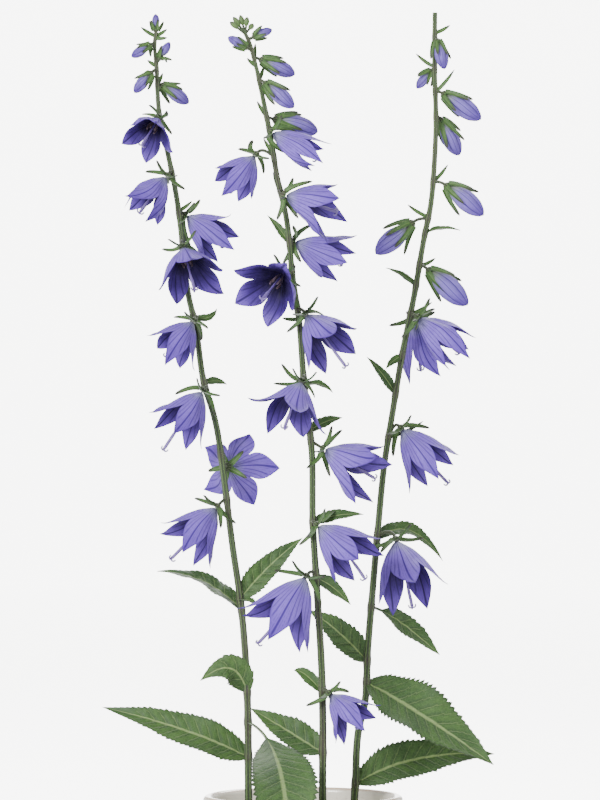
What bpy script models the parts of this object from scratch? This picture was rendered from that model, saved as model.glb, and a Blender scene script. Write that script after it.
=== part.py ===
"""Creeping bellflower: three cut flowering stems that stand in a plain vase with water.

Metres, +Z up. The origin is the centre of the flat base, and the front is -Y. Everything that
grows is placed in a front view of 600 x 800 pixels: u counts to the right, v counts down, and
depth says how far behind the vase's axis a point lies.
"""
import math
from collections import namedtuple

import bmesh
import bpy
import numpy as np
from mathutils import Matrix, Vector

# The front view
PIXEL = 0.00042            # width that one pixel covers at the vase's axis
VIEW_DISTANCE = 1.867      # from the eye to the vase's axis
VIEW_CENTRE = (300, 400)   # the pixel that looks straight ahead
CENTRE_X = -0.00126
CENTRE_Z = 0.326
TOP_V = 15                 # the highest and the lowest pixel of the stems in view
LOW_V = 786
FRONT = Vector((0.1, -1, 0.2))    # roughly towards the viewer, never along a stalk
SIDE = Vector((1, 0, 0))
DEEP = Vector((0, 1, 0))

# The vase and its water
VASE_HEIGHT = 0.160
VASE_FOOT_RADIUS = 0.0325
VASE_RIM_RADIUS = 0.042
WALL = 0.004
FLOOR = 0.005
WATER_LEVEL = 0.105
VASE_SWELL = 0.8           # the smaller, the lower down it widens
VASE_SIDES = 24
VASE_HEIGHTS = (0.120, 0.070, 0.030)    # where the profile has a point between rim and foot
RIM_ROUND = 0.0012
FOOT_CHAMFER = 0.0015
FLOOR_ROUND = 0.004        # the inside's corner, and the height where it ends
FLOOR_ROUND_TOP = 0.012
GAP = 0.0003               # kept between pieces that touch
CUT_LIFT = 0.0006          # from the vase's floor to a stem's cut end
MERGE = 0.00005

# Stems and stalks
STEM_SIDES = 8
STEM_RADII = ((14, 0.0006), (120, 0.0010), (300, 0.0012), (500, 0.0013), (786, 0.0015))
STALK_RADIUS = 0.0007
STALK_SINK = 0.0006        # how far a stalk goes into its calyx
STALK_SIDES = 5
CUT_RADIUS = 0.0016

# A calyx, as heights along the flower's axis and radii
CALYX_SIDES = 5
CALYX_RINGS = ((0.0, 0.0009), (0.0012, 0.0018), (0.0020, 0.0017))
CALYX_HEIGHT = CALYX_RINGS[-1][0]
SETBACK = 0.0022           # how far a flower's calyx starts behind the flower's place
SEPAL_SHARE = 0.36         # of the flower's length
SEPAL_SPREAD = 80          # degrees from the flower's axis
SEPAL_DROOP = 20           # degrees more beyond its elbow
SEPAL_ELBOW = 0.45         # of the sepal's length
SEPAL_WAIST = 0.50         # width at the elbow over width at the root
BUD_SEPAL_SHARE = 0.56
BUD_SEPAL_SPREAD = 30

# A bell's wall from its root at 0 to a lobe's tip at 1, and its slope there: degrees from the
# axis when the bell is closed, and how many more when it is wide open
BELL_WALL = 0.00065
BELL_SLOPES = ((0.0, 75, 0), (0.08, 34, 16), (0.25, 20, 28), (0.46, 15, 24), (0.70, 6, 44),
               (0.85, 8, 56), (1.0, 16, 84))
LOBES = 5
SINUS = 0.46               # how far up the wall the lobes part
LOBE_POINT = 1.05          # how fast a lobe narrows to its tip
LOBE_BELLY = 0.28          # and how much it is rounded on the way
TURN_STEP = 5              # degrees that one flower is turned on its axis beyond another
LOBE_WIDTHS = (-1.0, -0.5, 0.0, 0.5)
FIRST_RING = 0.11
WALL_STEPS = (0.50, 0.78, 1.0)
NARROW_WALL_STEPS = (0.50, 1.0)
NARROW_FLARE = 0.42
SAMPLES = 201              # along the wall, where its line is added up
STYLE_SIDES = 5
STYLE_RADIUS = 0.0005
STYLE_ROOT = 0.12          # both of the flower's length
STYLE_REACH = 1.03
CLUB_LENGTH = 0.003        # the style's thick end, with its widest place just below its tip
CLUB_CROWN = 0.001
CLUB_WIDTH = 2             # over the style's own

# A bud, as parts of its length and of its radius
BUD_RINGS = ((0.12, 0.46), (0.50, 1.0), (0.85, 0.62))
BUD_PLEAT = 0.14
BUD_SLIMNESS = 0.21        # radius over length
BUD_CALYX_LEAST = 0.45     # of a flower's calyx, on the tiniest bud
BUD_CALYX_GROWTH = 0.045   # the length of bud that would add a whole one

# Leaves
BLADE = 0.0007
FOLD = 0.30                # rise of the margins over the half width
TOOTH = 0.10
POINT = 1.1                # how a blade narrows to its tip
LEAF_STALK = 0.0007        # half the width of a leaf's own stalk
BRACT_RADII = (0.0006, 0.0007, 0)
BRACT_SIDES = 3
BRACT_SAG = Vector((0, 0, -0.0004))

Stem = namedtuple("Stem", "line depth_low depth_high foot least_radius")
Flower = namedtuple("Flower", "stem leaves_at base depth lean toward length flare")
Bud = namedtuple("Bud", "stem leaves_at base depth lean toward length")
Leaf = namedtuple("Leaf", "stem root_v bend tip width face stalk base rows")

STEMS = {
    1: Stem(((156, 32), (154.6, 44), (156.3, 64), (159.5, 115), (168.4, 156), (177, 200), (181.5, 235),
             (189.6, 301), (194.5, 321), (205, 387), (213.5, 414), (224.7, 484), (231.7, 540),
             (241.5, 610), (245.4, 656), (248, 725), (248.4, 785)),
            0.008, 0.026,
            ((-0.0222, 0.0080, 0.130), (-0.0150, 0.0110, FLOOR + CUT_LIFT)), 0.0006),
    2: Stem(((242, 28), (247, 37), (255.9, 66), (261, 89), (271, 140), (277.6, 179), (285.8, 215),
             (292.8, 278), (299, 320), (303.3, 375), (312, 456), (312.7, 518), (317.2, 594),
             (322, 678), (322.8, 720), (322.6, 785)),
            -0.014, -0.030,
            ((0.0084, -0.0142, 0.130), (0.0110, -0.0170, FLOOR + CUT_LIFT)), 0.0006),
    3: Stem(((435, 12.5), (434.6, 64), (435.9, 128), (434.6, 159), (430.4, 207), (424.5, 236),
             (414.3, 295), (402.5, 353), (392.8, 411), (384.4, 464), (378.3, 525), (372.9, 587),
             (367.6, 652), (364.5, 705), (359, 728), (355.3, 785)),
            0.009, 0.023,
            ((0.0200, 0.0100, 0.130), (0.0080, 0.0140, FLOOR + CUT_LIFT)), 0.00095),
}

FLOWERS = (
    Flower(1, 116, (158, 119), -0.0050, -29, 38, 0.0200, 0.80),
    Flower(1, 172, (166, 177), -0.0030, -36, 10, 0.0227, 0.50),
    Flower(1, 213, (187, 216), 0.0042, 52, 4, 0.0240, 0.48),
    Flower(1, 243, (183, 248), -0.0078, 16, 30, 0.0256, 0.80),
    Flower(1, 318, (193, 322), -0.0055, -37, 15, 0.0227, 0.55),
    Flower(1, 389, (202, 392), -0.0050, -34, 12, 0.0252, 0.50),
    Flower(1, 455, (228, 467), 0.0050, 80, -69, 0.0235, 0.97),
    Flower(1, 499, (216, 508), -0.0030, -39, 10, 0.0260, 0.50),
    Flower(2, 130, (272.5, 133), -0.0010, 60, 0, 0.0248, 0.05),
    Flower(2, 157, (254.6, 156), 0.0, -37, 5, 0.0218, 0.60),
    Flower(2, 190, (286, 195.5), -0.0044, 72, 5, 0.0260, 0.45),
    Flower(2, 240, (295, 242), 0.0044, 65, -7, 0.0256, 0.40),
    Flower(2, 270, (282.6, 274.6), -0.0032, -38, 48, 0.0236, 0.97),
    Flower(2, 309, (306.8, 315), -0.0040, 37, 20, 0.0265, 0.65),
    Flower(2, 378, (301, 382.5), -0.0060, -20, 20, 0.0252, 0.70),
    Flower(2, 440, (325, 449.5), 0.0, 60, 10, 0.0286, 0.55),
    Flower(2, 522, (318.5, 526), -0.0040, 48, 10, 0.0290, 0.45),
    Flower(2, 574, (305.5, 578), -0.0040, -30, 12, 0.0319, 0.50),
    Flower(2, 690, (330.5, 694.5), -0.0040, 42, 15, 0.0218, 0.50),
    Flower(3, 314, (414.3, 320), 0.0088, 8, -20, 0.0269, 0.25),
    Flower(3, 314, (419, 318.5), -0.0030, 49, 8, 0.0265, 0.30),
    Flower(3, 437, (402, 429.5), 0.0, 38, 5, 0.0265, 0.45),
    Flower(3, 535, (396, 541), -0.0053, 15, 18, 0.0311, 0.55),
)

BUDS = (
    Bud(1, 33, (155.7, 32.5), 0.0, 180, 0, 0.0080),
    Bud(1, 42, (152.5, 44), -0.0010, -58, 10, 0.0107),
    Bud(1, 62, (159, 60), -0.0010, 149, 10, 0.0090),
    Bud(1, 70, (152.5, 71.4), -0.0020, -40, 10, 0.0122),
    Bud(1, 84, (160, 84), 0.0020, 57, -15, 0.0151),
    Bud(2, 40, (252, 37.6), 0.0010, 113, -10, 0.0092),
    Bud(2, 50, (248.3, 48.5), -0.0010, -119, 10, 0.0098),
    Bud(2, 57, (259, 58.7), 0.0020, 67, -12, 0.0166),
    Bud(2, 80, (263.6, 81.6), -0.0020, 49, 12, 0.0171),
    Bud(2, 117, (272.5, 118.6), 0.0050, 75, -18, 0.0206),
    Bud(3, 37, (436.5, 38.3), -0.0020, 14, 15, 0.0143),
    Bud(3, 68, (432.7, 69), 0.0020, -40, -12, 0.0108),
    Bud(3, 92, (441.6, 92.5), -0.0020, 55, 12, 0.0208),
    Bud(3, 117, (439, 117.3), 0.0030, 29, -15, 0.0189),
    Bud(3, 182, (444.3, 184), -0.0020, 51, 12, 0.0218),
    Bud(3, 219, (414.3, 221.3), 0.0020, -50, -10, 0.0218),
    Bud(3, 265, (426.7, 268.3), -0.0020, 48, 12, 0.0239),
)

# root_v is where the leaf leaves its stem; bend and tip are u, v and a depth behind the stem; the
# larger the base, the longer the wedge that the blade starts with
LEAVES = (
    Leaf(1, 610, (208, 572, 0.004), (157, 571, 0.008), 0.0105, (0, -0.4, 1), 0, 0.6, 10),
    Leaf(1, 599, (266, 565, 0.003), (303, 537.5, 0.005), 0.0106, (0, -1, 0.4), 0, 0.6, 10),
    Leaf(1, 600, (249, 598, -0.008), (257, 605, -0.009), 0.0042, (0, -0.5, 1), 0, 0.6, 4),
    Leaf(1, 692, (236, 650, -0.006), (200, 681, -0.003), 0.0125, (-0.3, -1, 0.3), 0, 0.6, 12),
    Leaf(1, 757, (190, 727, -0.002), (102, 707, 0.006), 0.0158, (0, -1, 0.6), 0, 0.6, 12),
    Leaf(1, 722, (290, 742, -0.053), (287, 856, -0.066), 0.027, (0.1, -0.8, 1), 0.25, 1.2, 14),
    Leaf(1, 383, (216, 378, 0.003), (227, 384.5, 0.004), 0.0036, (0, -1, 0.5), 0, 0.6, 4),
    Leaf(1, 317, (212, 322, 0.002), (217, 308, 0.003), 0.0034, (0, -1, 0.5), 0, 0.6, 4),
    Leaf(2, 243, (280, 227, 0.002), (267, 215, 0.002), 0.0034, (0, -1, 0.3), 0, 0.6, 6),
    Leaf(2, 384, (322, 380, -0.003), (333, 392.6, -0.004), 0.0038, (0, -0.7, 1), 0, 0.6, 4),
    Leaf(2, 431, (326, 419, 0.002), (342.6, 417.5, 0.004), 0.0052, (0, -1, 0.7), 0, 0.6, 6),
    Leaf(2, 523, (335, 512, 0.002), (364, 514.4, 0.003), 0.0056, (0, -1, 0.7), 0, 0.6, 8),
    Leaf(2, 578, (333, 584, 0.004), (351, 605, 0.005), 0.0066, (0.2, -1, 0.5), 0, 0.6, 8),
    Leaf(2, 692, (303, 668, 0.002), (293.8, 670.5, 0.002), 0.0055, (0, -1, 0.5), 0, 0.6, 6),
    Leaf(2, 753, (292, 733, 0.006), (250, 708, 0.008), 0.0135, (0, -1, 0.6), 0, 0.6, 12),
    Leaf(3, 233, (440, 225, -0.003), (460.5, 230, -0.005), 0.0036, (0, -0.6, 1), 0, 0.6, 4),
    Leaf(3, 286, (404, 273, 0.002), (386, 267.6, 0.002), 0.0032, (0, -0.8, 1), 0, 0.6, 6),
    Leaf(3, 394, (384, 373, 0.002), (366.6, 356.6, 0.002), 0.0044, (0, -1, 0.5), 0, 0.6, 8),
    Leaf(3, 356, (392, 360, -0.003), (385.7, 369, -0.004), 0.0034, (0, -1, 0.5), 0, 0.6, 4),
    Leaf(3, 539, (410, 511, 0.009), (443, 561, 0.006), 0.0080, (0.2, -0.9, 1), 0, 0.6, 10),
    Leaf(3, 607, (392, 611, 0.009), (440, 655, 0.006), 0.0102, (0.3, -1, 0.8), 0.20, 1.0, 10),
    Leaf(3, 661, (338, 628, 0.0), (309, 610, -0.002), 0.0118, (0, -1, 0.4), 0, 0.6, 12),
    Leaf(3, 682, (413, 706, -0.006), (494, 765, -0.016), 0.025, (0.4, -1, 0.6), 0, 0.85, 14),
    Leaf(3, 784, (408, 749, 0.003), (495, 754, 0.007), 0.0175, (0, -1, 0.55), 0, 0.75, 12),
)

# stem, v of the root, then u, v and depth of the tip
BRACTS = (
    (1, 36, 141, 27, -0.002), (1, 36, 167, 29, 0.001), (1, 38, 167, 37.5, -0.003),
    (1, 66, 147.4, 60, 0.0), (1, 84, 162.7, 73, 0.002), (1, 211, 192, 201, 0.002),
    (2, 60, 255.3, 43.4, 0.002), (2, 66, 247, 58, -0.002), (2, 80, 264, 66, 0.003),
    (2, 116, 257, 101, 0.001), (2, 154, 263.6, 138.4, 0.001), (2, 193, 273, 172, 0.0),
    (2, 319, 282.3, 318, 0.001), (2, 312, 296, 296, -0.004), (3, 33, 450, 25, 0.0005),
    (3, 67, 416, 53.6, 0.002), (3, 92, 454.4, 69.5, -0.003), (3, 182, 448, 164.5, 0.003),
    (3, 217, 407.7, 204.5, 0.0), (3, 266, 435.5, 258, 0.004), (3, 314, 432, 302, 0.0),
    (3, 437, 423.4, 421, 0.005),
)

# u, v and depth of the tip of each green bud in the crowded top of one stem
GREEN_BUDS = (
    (233, 16.6, 0.0), (240, 14.7, 0.002), (247, 16.6, -0.001), (229.8, 21.7, -0.002), (253.4, 23.6, 0.001),
)
GREEN_BUD_STEM = 2
GREEN_BUD_ROOT_V = 34
GREEN_BUD_SIDES = 5
GREEN_BUD_SHAPE = ((0, 0.0005), (0.45, 0.0007), (0.75, 0.0011), (1, 0))    # way along it, and radius

GREEN = (0.10, 0.20, 0.05)
VIOLET = (0.18, 0.12, 0.51)
BUD_VIOLET = (0.20, 0.17, 0.42)
IVORY = (0.80, 0.76, 0.68)
WATER = (0.75, 0.85, 0.85)


class Shell:
    """A closed surface that grows ring by ring. Rings turn right-handed about their way forward."""

    def __init__(self):
        self.mesh = bmesh.new()

    def ring(self, points):
        return [self.mesh.verts.new(point) for point in points]

    def bridge(self, first, second):
        for i in range(len(first)):
            j = (i + 1) % len(first)
            self.mesh.faces.new((first[i], first[j], second[j], second[i]))

    def begin(self, ring):
        self.mesh.faces.new(list(reversed(ring)))

    def end(self, ring):
        self.mesh.faces.new(ring)

    def begin_at(self, point, ring):
        tip = self.mesh.verts.new(point)
        for i in range(len(ring)):
            self.mesh.faces.new((tip, ring[(i + 1) % len(ring)], ring[i]))

    def end_at(self, ring, point):
        tip = self.mesh.verts.new(point)
        for i in range(len(ring)):
            self.mesh.faces.new((ring[i], ring[(i + 1) % len(ring)], tip))

    def object(self, name):
        mesh = bpy.data.meshes.new(name)
        self.mesh.to_mesh(mesh)
        self.mesh.free()
        piece = bpy.data.objects.new(name, mesh)
        bpy.context.scene.collection.objects.link(piece)
        return piece


def from_view(u, v, depth):
    """The point that is seen at u, v and lies depth behind the vase's axis."""
    scale = PIXEL * (VIEW_DISTANCE + depth) / VIEW_DISTANCE
    x = CENTRE_X + (u - VIEW_CENTRE[0]) * scale
    z = CENTRE_Z + (VIEW_CENTRE[1] - v) * scale
    return Vector((x, depth, z))


def stem_depth(number, v):
    """A stem's depth changes evenly from its low end to its top."""
    stem = STEMS[number]
    rise = (LOW_V - v) / (LOW_V - TOP_V)
    return stem.depth_low + (stem.depth_high - stem.depth_low) * rise


def stem_point(number, v):
    """The middle of a stem where it passes v."""
    line = STEMS[number].line
    u = np.interp(v, [point[1] for point in line], [point[0] for point in line])
    return from_view(float(u), v, stem_depth(number, v))


def stem_radius(number, v):
    radius = np.interp(v, [pair[0] for pair in STEM_RADII], [pair[1] for pair in STEM_RADII])
    return max(float(radius), STEMS[number].least_radius)


def circle(centre, across, along, radius, sides):
    """Points on a circle in the plane of two unit vectors."""
    angles = [2 * math.pi * i / sides for i in range(sides)]
    return [centre + radius * (math.cos(a) * across + math.sin(a) * along) for a in angles]


def side_vectors(direction, hint):
    """Two unit vectors square to a direction, the first as near to the hint as can be."""
    second = direction.cross(hint).normalized()
    first = second.cross(direction).normalized()
    return first, second


def rod(name, points, radii, sides, hint):
    """A tube through points, with a radius for each and flat ends; radius 0 at its end is a tip."""
    shell = Shell()
    last = len(points) - 1
    before = None
    for i, (point, radius) in enumerate(zip(points, radii)):
        direction = (points[min(i + 1, last)] - points[max(i - 1, 0)]).normalized()
        first, second = side_vectors(direction, hint)
        if i == last and radius == 0:
            shell.end_at(before, point)
            break
        ring = shell.ring(circle(point, first, second, radius, sides))
        if before is None:
            shell.begin(ring)
        else:
            shell.bridge(before, ring)
        if i == last:
            shell.end(ring)
        before = ring
    return shell.object(name)


def bare_stem(number, extra=0.0, beyond=0.0):
    """The stem from its cut end in the vase, or from beyond it, to its top."""
    stem = STEMS[number]
    points = [stem_point(number, v) for u, v in stem.line]
    radii = [stem_radius(number, v) + extra for u, v in stem.line]
    points += [Vector(point) for point in stem.foot]
    points[-1] += (points[-1] - points[-2]).normalized() * beyond
    radii += [CUT_RADIUS + extra] * len(stem.foot)
    points.reverse()
    radii.reverse()
    return rod("stem", points, radii, STEM_SIDES, SIDE)


def head_axis(head):
    """The way that a flower or bud hangs: lean is from straight down, toward is to the viewer."""
    lean = math.radians(head.lean)
    toward = math.radians(head.toward)
    return Vector((math.sin(lean) * math.cos(toward), -math.sin(toward), -math.cos(lean) * math.cos(toward)))


def head_base(head):
    """The foot of the calyx. A flower's lies a setback behind the flower's place."""
    place = from_view(head.base[0], head.base[1], stem_depth(head.stem, head.leaves_at) + head.depth)
    return place - head_axis(head) * (SETBACK if isinstance(head, Flower) else 0)


def head_frame(head, index):
    """Puts a flower's own frame, its axis along z, at its base. One lobe faces the front, give or
    take two steps."""
    down = head_axis(head)
    first, second = side_vectors(down, FRONT)
    frame = Matrix((first, second, down)).transposed().to_4x4()
    turn = math.radians(TURN_STEP * (4 * index % 5 - 2))
    return Matrix.Translation(head_base(head)) @ frame @ Matrix.Rotation(turn, 4, "Z")


def calyx(frame, size, sepal, spread, straight):
    """The green cup under a flower, with five sepals pulled out of its upper band."""
    shell = Shell()
    axis = Vector((0, 0, 1))
    rings = []
    for height, radius in CALYX_RINGS:
        points = circle(axis * height * size, SIDE, DEEP, radius * size, CALYX_SIDES)
        rings.append(shell.ring(points))
    foot, brim, top = rings
    shell.begin(foot)
    shell.bridge(foot, brim)
    shell.end(top)
    spread = math.radians(spread)
    bend = math.radians(SEPAL_DROOP)
    for i in range(CALYX_SIDES):
        j = (i + 1) % CALYX_SIDES
        corners = [brim[i], brim[j], top[j], top[i]]
        middle = sum((corner.co for corner in corners), Vector()) / 4
        outward = Vector((middle.x, middle.y, 0)).normalized()
        way = outward * math.sin(spread) + axis * math.cos(spread)
        droop = outward * math.sin(spread + bend) + axis * math.cos(spread + bend)
        if straight:
            shell.end_at(corners, middle + way * sepal)
            continue
        elbow = middle + way * sepal * SEPAL_ELBOW
        waist = shell.ring([elbow + (corner.co - middle) * SEPAL_WAIST for corner in corners])
        shell.bridge(corners, waist)
        shell.end_at(waist, elbow + droop * sepal * (1 - SEPAL_ELBOW))
    piece = shell.object("calyx")
    piece.data.transform(frame)
    return piece


def stalk(head):
    """The short stalk from the middle of the stem to just inside the calyx."""
    start = stem_point(head.stem, head.leaves_at)
    base = head_base(head)
    end = base + (base - start).normalized() * STALK_SINK
    return rod("stalk", [start, end], [STALK_RADIUS] * 2, STALK_SIDES, FRONT)


def wall_line(flare, length, lift):
    """Radius and height along the bell's wall, from lift up to a lobe's tip, length from the base."""
    steps = np.linspace(0, 1, SAMPLES)
    at, closed, opening = np.array(BELL_SLOPES).T
    angles = np.radians(np.interp(steps, at, closed + opening * flare))
    halfway = (angles[:-1] + angles[1:]) / 2
    radius = np.concatenate(([0], np.cumsum(np.sin(halfway)) * steps[1]))
    height = np.concatenate(([0], np.cumsum(np.cos(halfway)) * steps[1]))
    a = radius[-1] ** 2 + height[-1] ** 2
    b = 2 * height[-1] * lift
    scale = (math.sqrt(b * b - 4 * a * (lift * lift - length * length)) - b) / (2 * a)
    return steps, radius * scale, height * scale + lift, angles


def lobe_end(width):
    """How far along the wall a lobe reaches at a share of its half width."""
    q = np.linspace(0, 1, SAMPLES)
    outline = (1 - q) ** LOBE_POINT * (1 + LOBE_BELLY * np.sin(math.pi * q))
    reached = q[outline >= abs(width) - 1e-6].max()
    return SINUS + (1 - SINUS) * reached


def bell(name, length, flare):
    """A five-lobed bell with a closed root, and the style that stands in it."""
    lift = CALYX_HEIGHT + GAP
    steps, radius, height, slope = wall_line(flare, length, lift)
    columns = [(lobe + width / 2) * 2 * math.pi / LOBES for lobe in range(LOBES) for width in LOBE_WIDTHS]
    ends = [lobe_end(width) for lobe in range(LOBES) for width in LOBE_WIDTHS]

    def wall_ring(step, depth):
        points = []
        for angle, end in zip(columns, ends):
            s = end * step if step else FIRST_RING
            a = np.interp(s, steps, slope)
            r = np.interp(s, steps, radius) - depth * math.cos(a)
            z = np.interp(s, steps, height) + depth * math.sin(a)
            points.append(Vector((r * math.cos(angle), r * math.sin(angle), z)))
        return points

    shell = Shell()
    wall = NARROW_WALL_STEPS if flare < NARROW_FLARE else WALL_STEPS
    rings = [shell.ring(wall_ring(step, 0)) for step in (0, *wall)]
    rings += [shell.ring(wall_ring(step, BELL_WALL)) for step in reversed(wall)]
    shell.begin_at(Vector((0, 0, lift)), rings[0])
    for first, second in zip(rings, rings[1:]):
        shell.bridge(first, second)
    root = Vector((0, 0, lift + STYLE_ROOT * length))
    add_style(shell, rings[-1], root, length * STYLE_REACH)
    return shell.object(name)


def add_style(shell, ring, root, tip_height):
    """Closes the bell's inside on the style, which ends in a small club."""
    foot = shell.ring(circle(root, SIDE, DEEP, STYLE_RADIUS, STYLE_SIDES))
    share = len(ring) // STYLE_SIDES
    for k in range(STYLE_SIDES):
        for i in range(k * share, (k + 1) * share):
            shell.mesh.faces.new((ring[i], ring[(i + 1) % len(ring)], foot[k]))
        after = (k + 1) % STYLE_SIDES
        shell.mesh.faces.new((ring[(k + 1) * share % len(ring)], foot[after], foot[k]))
    tip = Vector((0, 0, tip_height))
    below = Vector((0, 0, CLUB_LENGTH))
    crown = Vector((0, 0, CLUB_CROWN))
    neck = shell.ring(circle(tip - below, SIDE, DEEP, STYLE_RADIUS, STYLE_SIDES))
    club = shell.ring(circle(tip - crown, SIDE, DEEP, CLUB_WIDTH * STYLE_RADIUS, STYLE_SIDES))
    shell.bridge(foot, neck)
    shell.bridge(neck, club)
    shell.end_at(club, tip)


def bud(name, length, size):
    """A closed bud: five pleats, widest below its middle and pointed."""
    lift = CALYX_HEIGHT * size + GAP
    body = length - lift
    radius = BUD_SLIMNESS * length
    shell = Shell()
    rings = []
    for height, width in BUD_RINGS:
        points = []
        for i in range(2 * LOBES):
            angle = math.pi * i / LOBES
            r = radius * width * (1 - BUD_PLEAT * (i % 2))
            points.append(Vector((r * math.cos(angle), r * math.sin(angle), lift + height * body)))
        rings.append(shell.ring(points))
    shell.begin_at(Vector((0, 0, lift)), rings[0])
    for first, second in zip(rings, rings[1:]):
        shell.bridge(first, second)
    shell.end_at(rings[-1], Vector((0, 0, length)))
    return shell.object(name)


def calyx_size(bud_length):
    return BUD_CALYX_LEAST + bud_length / BUD_CALYX_GROWTH


def blade_width(t, base):
    """A blade's outline: 0 at both ends and 1 at its widest, at base / (base + POINT)."""
    widest = base / (base + POINT)
    return (t / widest) ** base * ((1 - t) / (1 - widest)) ** POINT


def leaf(shape):
    """A toothed blade folded along its midrib, both faces split alike, its root in the stem."""
    base_depth = stem_depth(shape.stem, shape.root_v)
    root = stem_point(shape.stem, shape.root_v)
    bend, tip = [from_view(u, v, base_depth + depth) for u, v, depth in (shape.bend, shape.tip)]
    face = Vector(shape.face).normalized()
    mesh = bmesh.new()
    rows = []
    for i in range(shape.rows):
        t = i / shape.rows
        middle = (1 - t) ** 2 * root + 2 * t * (1 - t) * bend + t ** 2 * tip
        direction = ((1 - t) * (bend - root) + t * (tip - bend)).normalized()
        upper, side = side_vectors(direction, face)
        grown = max(t - shape.stalk, 0) / (1 - shape.stalk)
        half = max(shape.width / 2 * blade_width(grown, shape.base), LEAF_STALK)
        half *= 1 + TOOTH * (1 if i % 2 else -1) if i else 1
        edge = half * FOLD
        top = [middle + side * half + upper * edge, middle, middle - side * half + upper * edge]
        rows.append([mesh.verts.new(point + upper * BLADE / 2) for point in top]
                    + [mesh.verts.new(point - upper * BLADE / 2) for point in top])
    end = mesh.verts.new(tip)
    for a, b in zip(rows, rows[1:]):
        for outer in (0, 2):
            blade_faces(mesh, a, b, outer)
    last = rows[-1]
    for ring in ((0, 1), (1, 2), (2, 5), (5, 4), (4, 3), (3, 0)):
        mesh.faces.new((last[ring[0]], last[ring[1]], end))
    first = rows[0]
    mesh.faces.new((first[0], first[3], first[4], first[1]))
    mesh.faces.new((first[1], first[4], first[5], first[2]))
    piece_mesh = bpy.data.meshes.new("leaf")
    bmesh.ops.recalc_face_normals(mesh, faces=mesh.faces)
    mesh.to_mesh(piece_mesh)
    mesh.free()
    piece = bpy.data.objects.new("leaf", piece_mesh)
    bpy.context.scene.collection.objects.link(piece)
    return piece


def blade_faces(mesh, a, b, outer):
    """One half of the blade between two rows: upper face, lower face and margin."""
    for middle, edge in ((1, outer), (4, outer + 3)):
        mesh.faces.new((a[middle], b[middle], b[edge]))
        mesh.faces.new((a[middle], b[edge], a[edge]))
    mesh.faces.new((a[outer], b[outer], b[outer + 3]))
    mesh.faces.new((a[outer], b[outer + 3], a[outer + 3]))


def bract(number, root_v, u, v, depth):
    """A narrow three-sided green point."""
    root = stem_point(number, root_v)
    tip = from_view(u, v, stem_depth(number, root_v) + depth)
    middle = root.lerp(tip, 0.5) + BRACT_SAG
    return rod("bract", [root, middle, tip], BRACT_RADII, BRACT_SIDES, FRONT)


def green_bud(u, v, depth):
    """One of the tiny buds at a stem's very top."""
    root = stem_point(GREEN_BUD_STEM, GREEN_BUD_ROOT_V)
    tip = from_view(u, v, stem_depth(GREEN_BUD_STEM, GREEN_BUD_ROOT_V) + depth)
    points = [root.lerp(tip, way) for way, radius in GREEN_BUD_SHAPE]
    radii = [radius for way, radius in GREEN_BUD_SHAPE]
    return rod("green_bud", points, radii, GREEN_BUD_SIDES, FRONT)


def fuse(body, parts):
    """Joins the parts to the body in one solid."""
    group = bpy.data.collections.new("parts")
    bpy.context.scene.collection.children.link(group)
    for part in parts:
        bpy.context.scene.collection.objects.unlink(part)
        group.objects.link(part)
    join = body.modifiers.new("join", "BOOLEAN")
    join.operation = "UNION"
    join.operand_type = "COLLECTION"
    join.collection = group
    join.solver = "EXACT"
    apply_modifiers(body)
    for part in list(group.objects):
        bpy.data.objects.remove(part)
    bpy.data.collections.remove(group)


def apply_modifiers(piece):
    bpy.context.view_layer.update()
    evaluated = piece.evaluated_get(bpy.context.evaluated_depsgraph_get())
    piece.data = bpy.data.meshes.new_from_object(evaluated)
    piece.modifiers.clear()


def paint(piece, colour, roughness):
    """Gives a piece its own material."""
    material = bpy.data.materials.new(piece.name)
    material.use_nodes = True
    surface = material.node_tree.nodes["Principled BSDF"]
    surface.inputs["Base Color"].default_value = (*colour, 1)
    surface.inputs["Roughness"].default_value = roughness
    surface.inputs["Metallic"].default_value = 0
    piece.data.materials.clear()
    piece.data.materials.append(material)


def leafy_stem(number):
    """A stem with all that is green on it, fused."""
    body = bare_stem(number)
    body.name = f"stem_{number}"
    parts = [leaf(shape) for shape in LEAVES if shape.stem == number]
    parts += [bract(*row) for row in BRACTS if row[0] == number]
    if number == GREEN_BUD_STEM:
        parts += [green_bud(*row) for row in GREEN_BUDS]
    for i, flower in enumerate(FLOWERS):
        if flower.stem == number:
            parts.append(stalk(flower))
            frame = head_frame(flower, i)
            parts.append(calyx(frame, 1, SEPAL_SHARE * flower.length, SEPAL_SPREAD, False))
    for i, closed in enumerate(BUDS):
        if closed.stem == number:
            parts.append(stalk(closed))
            frame = head_frame(closed, i)
            sepal = BUD_SEPAL_SHARE * closed.length
            parts.append(calyx(frame, calyx_size(closed.length), sepal, BUD_SEPAL_SPREAD, True))
    fuse(body, parts)
    paint(body, GREEN, 0.6)


def flower_heads():
    """The bells and the buds, each on its calyx."""
    counts = {}
    for i, flower in enumerate(FLOWERS):
        counts[flower.stem] = counts.get(flower.stem, 0) + 1
        piece = bell(f"bell_{flower.stem}_{counts[flower.stem]}", flower.length + SETBACK, flower.flare)
        piece.matrix_world = head_frame(flower, i)
        paint(piece, VIOLET, 0.5)
    counts = {}
    for i, closed in enumerate(BUDS):
        counts[closed.stem] = counts.get(closed.stem, 0) + 1
        piece = bud(f"bud_{closed.stem}_{counts[closed.stem]}", closed.length, calyx_size(closed.length))
        piece.matrix_world = head_frame(closed, i)
        paint(piece, BUD_VIOLET, 0.5)


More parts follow.
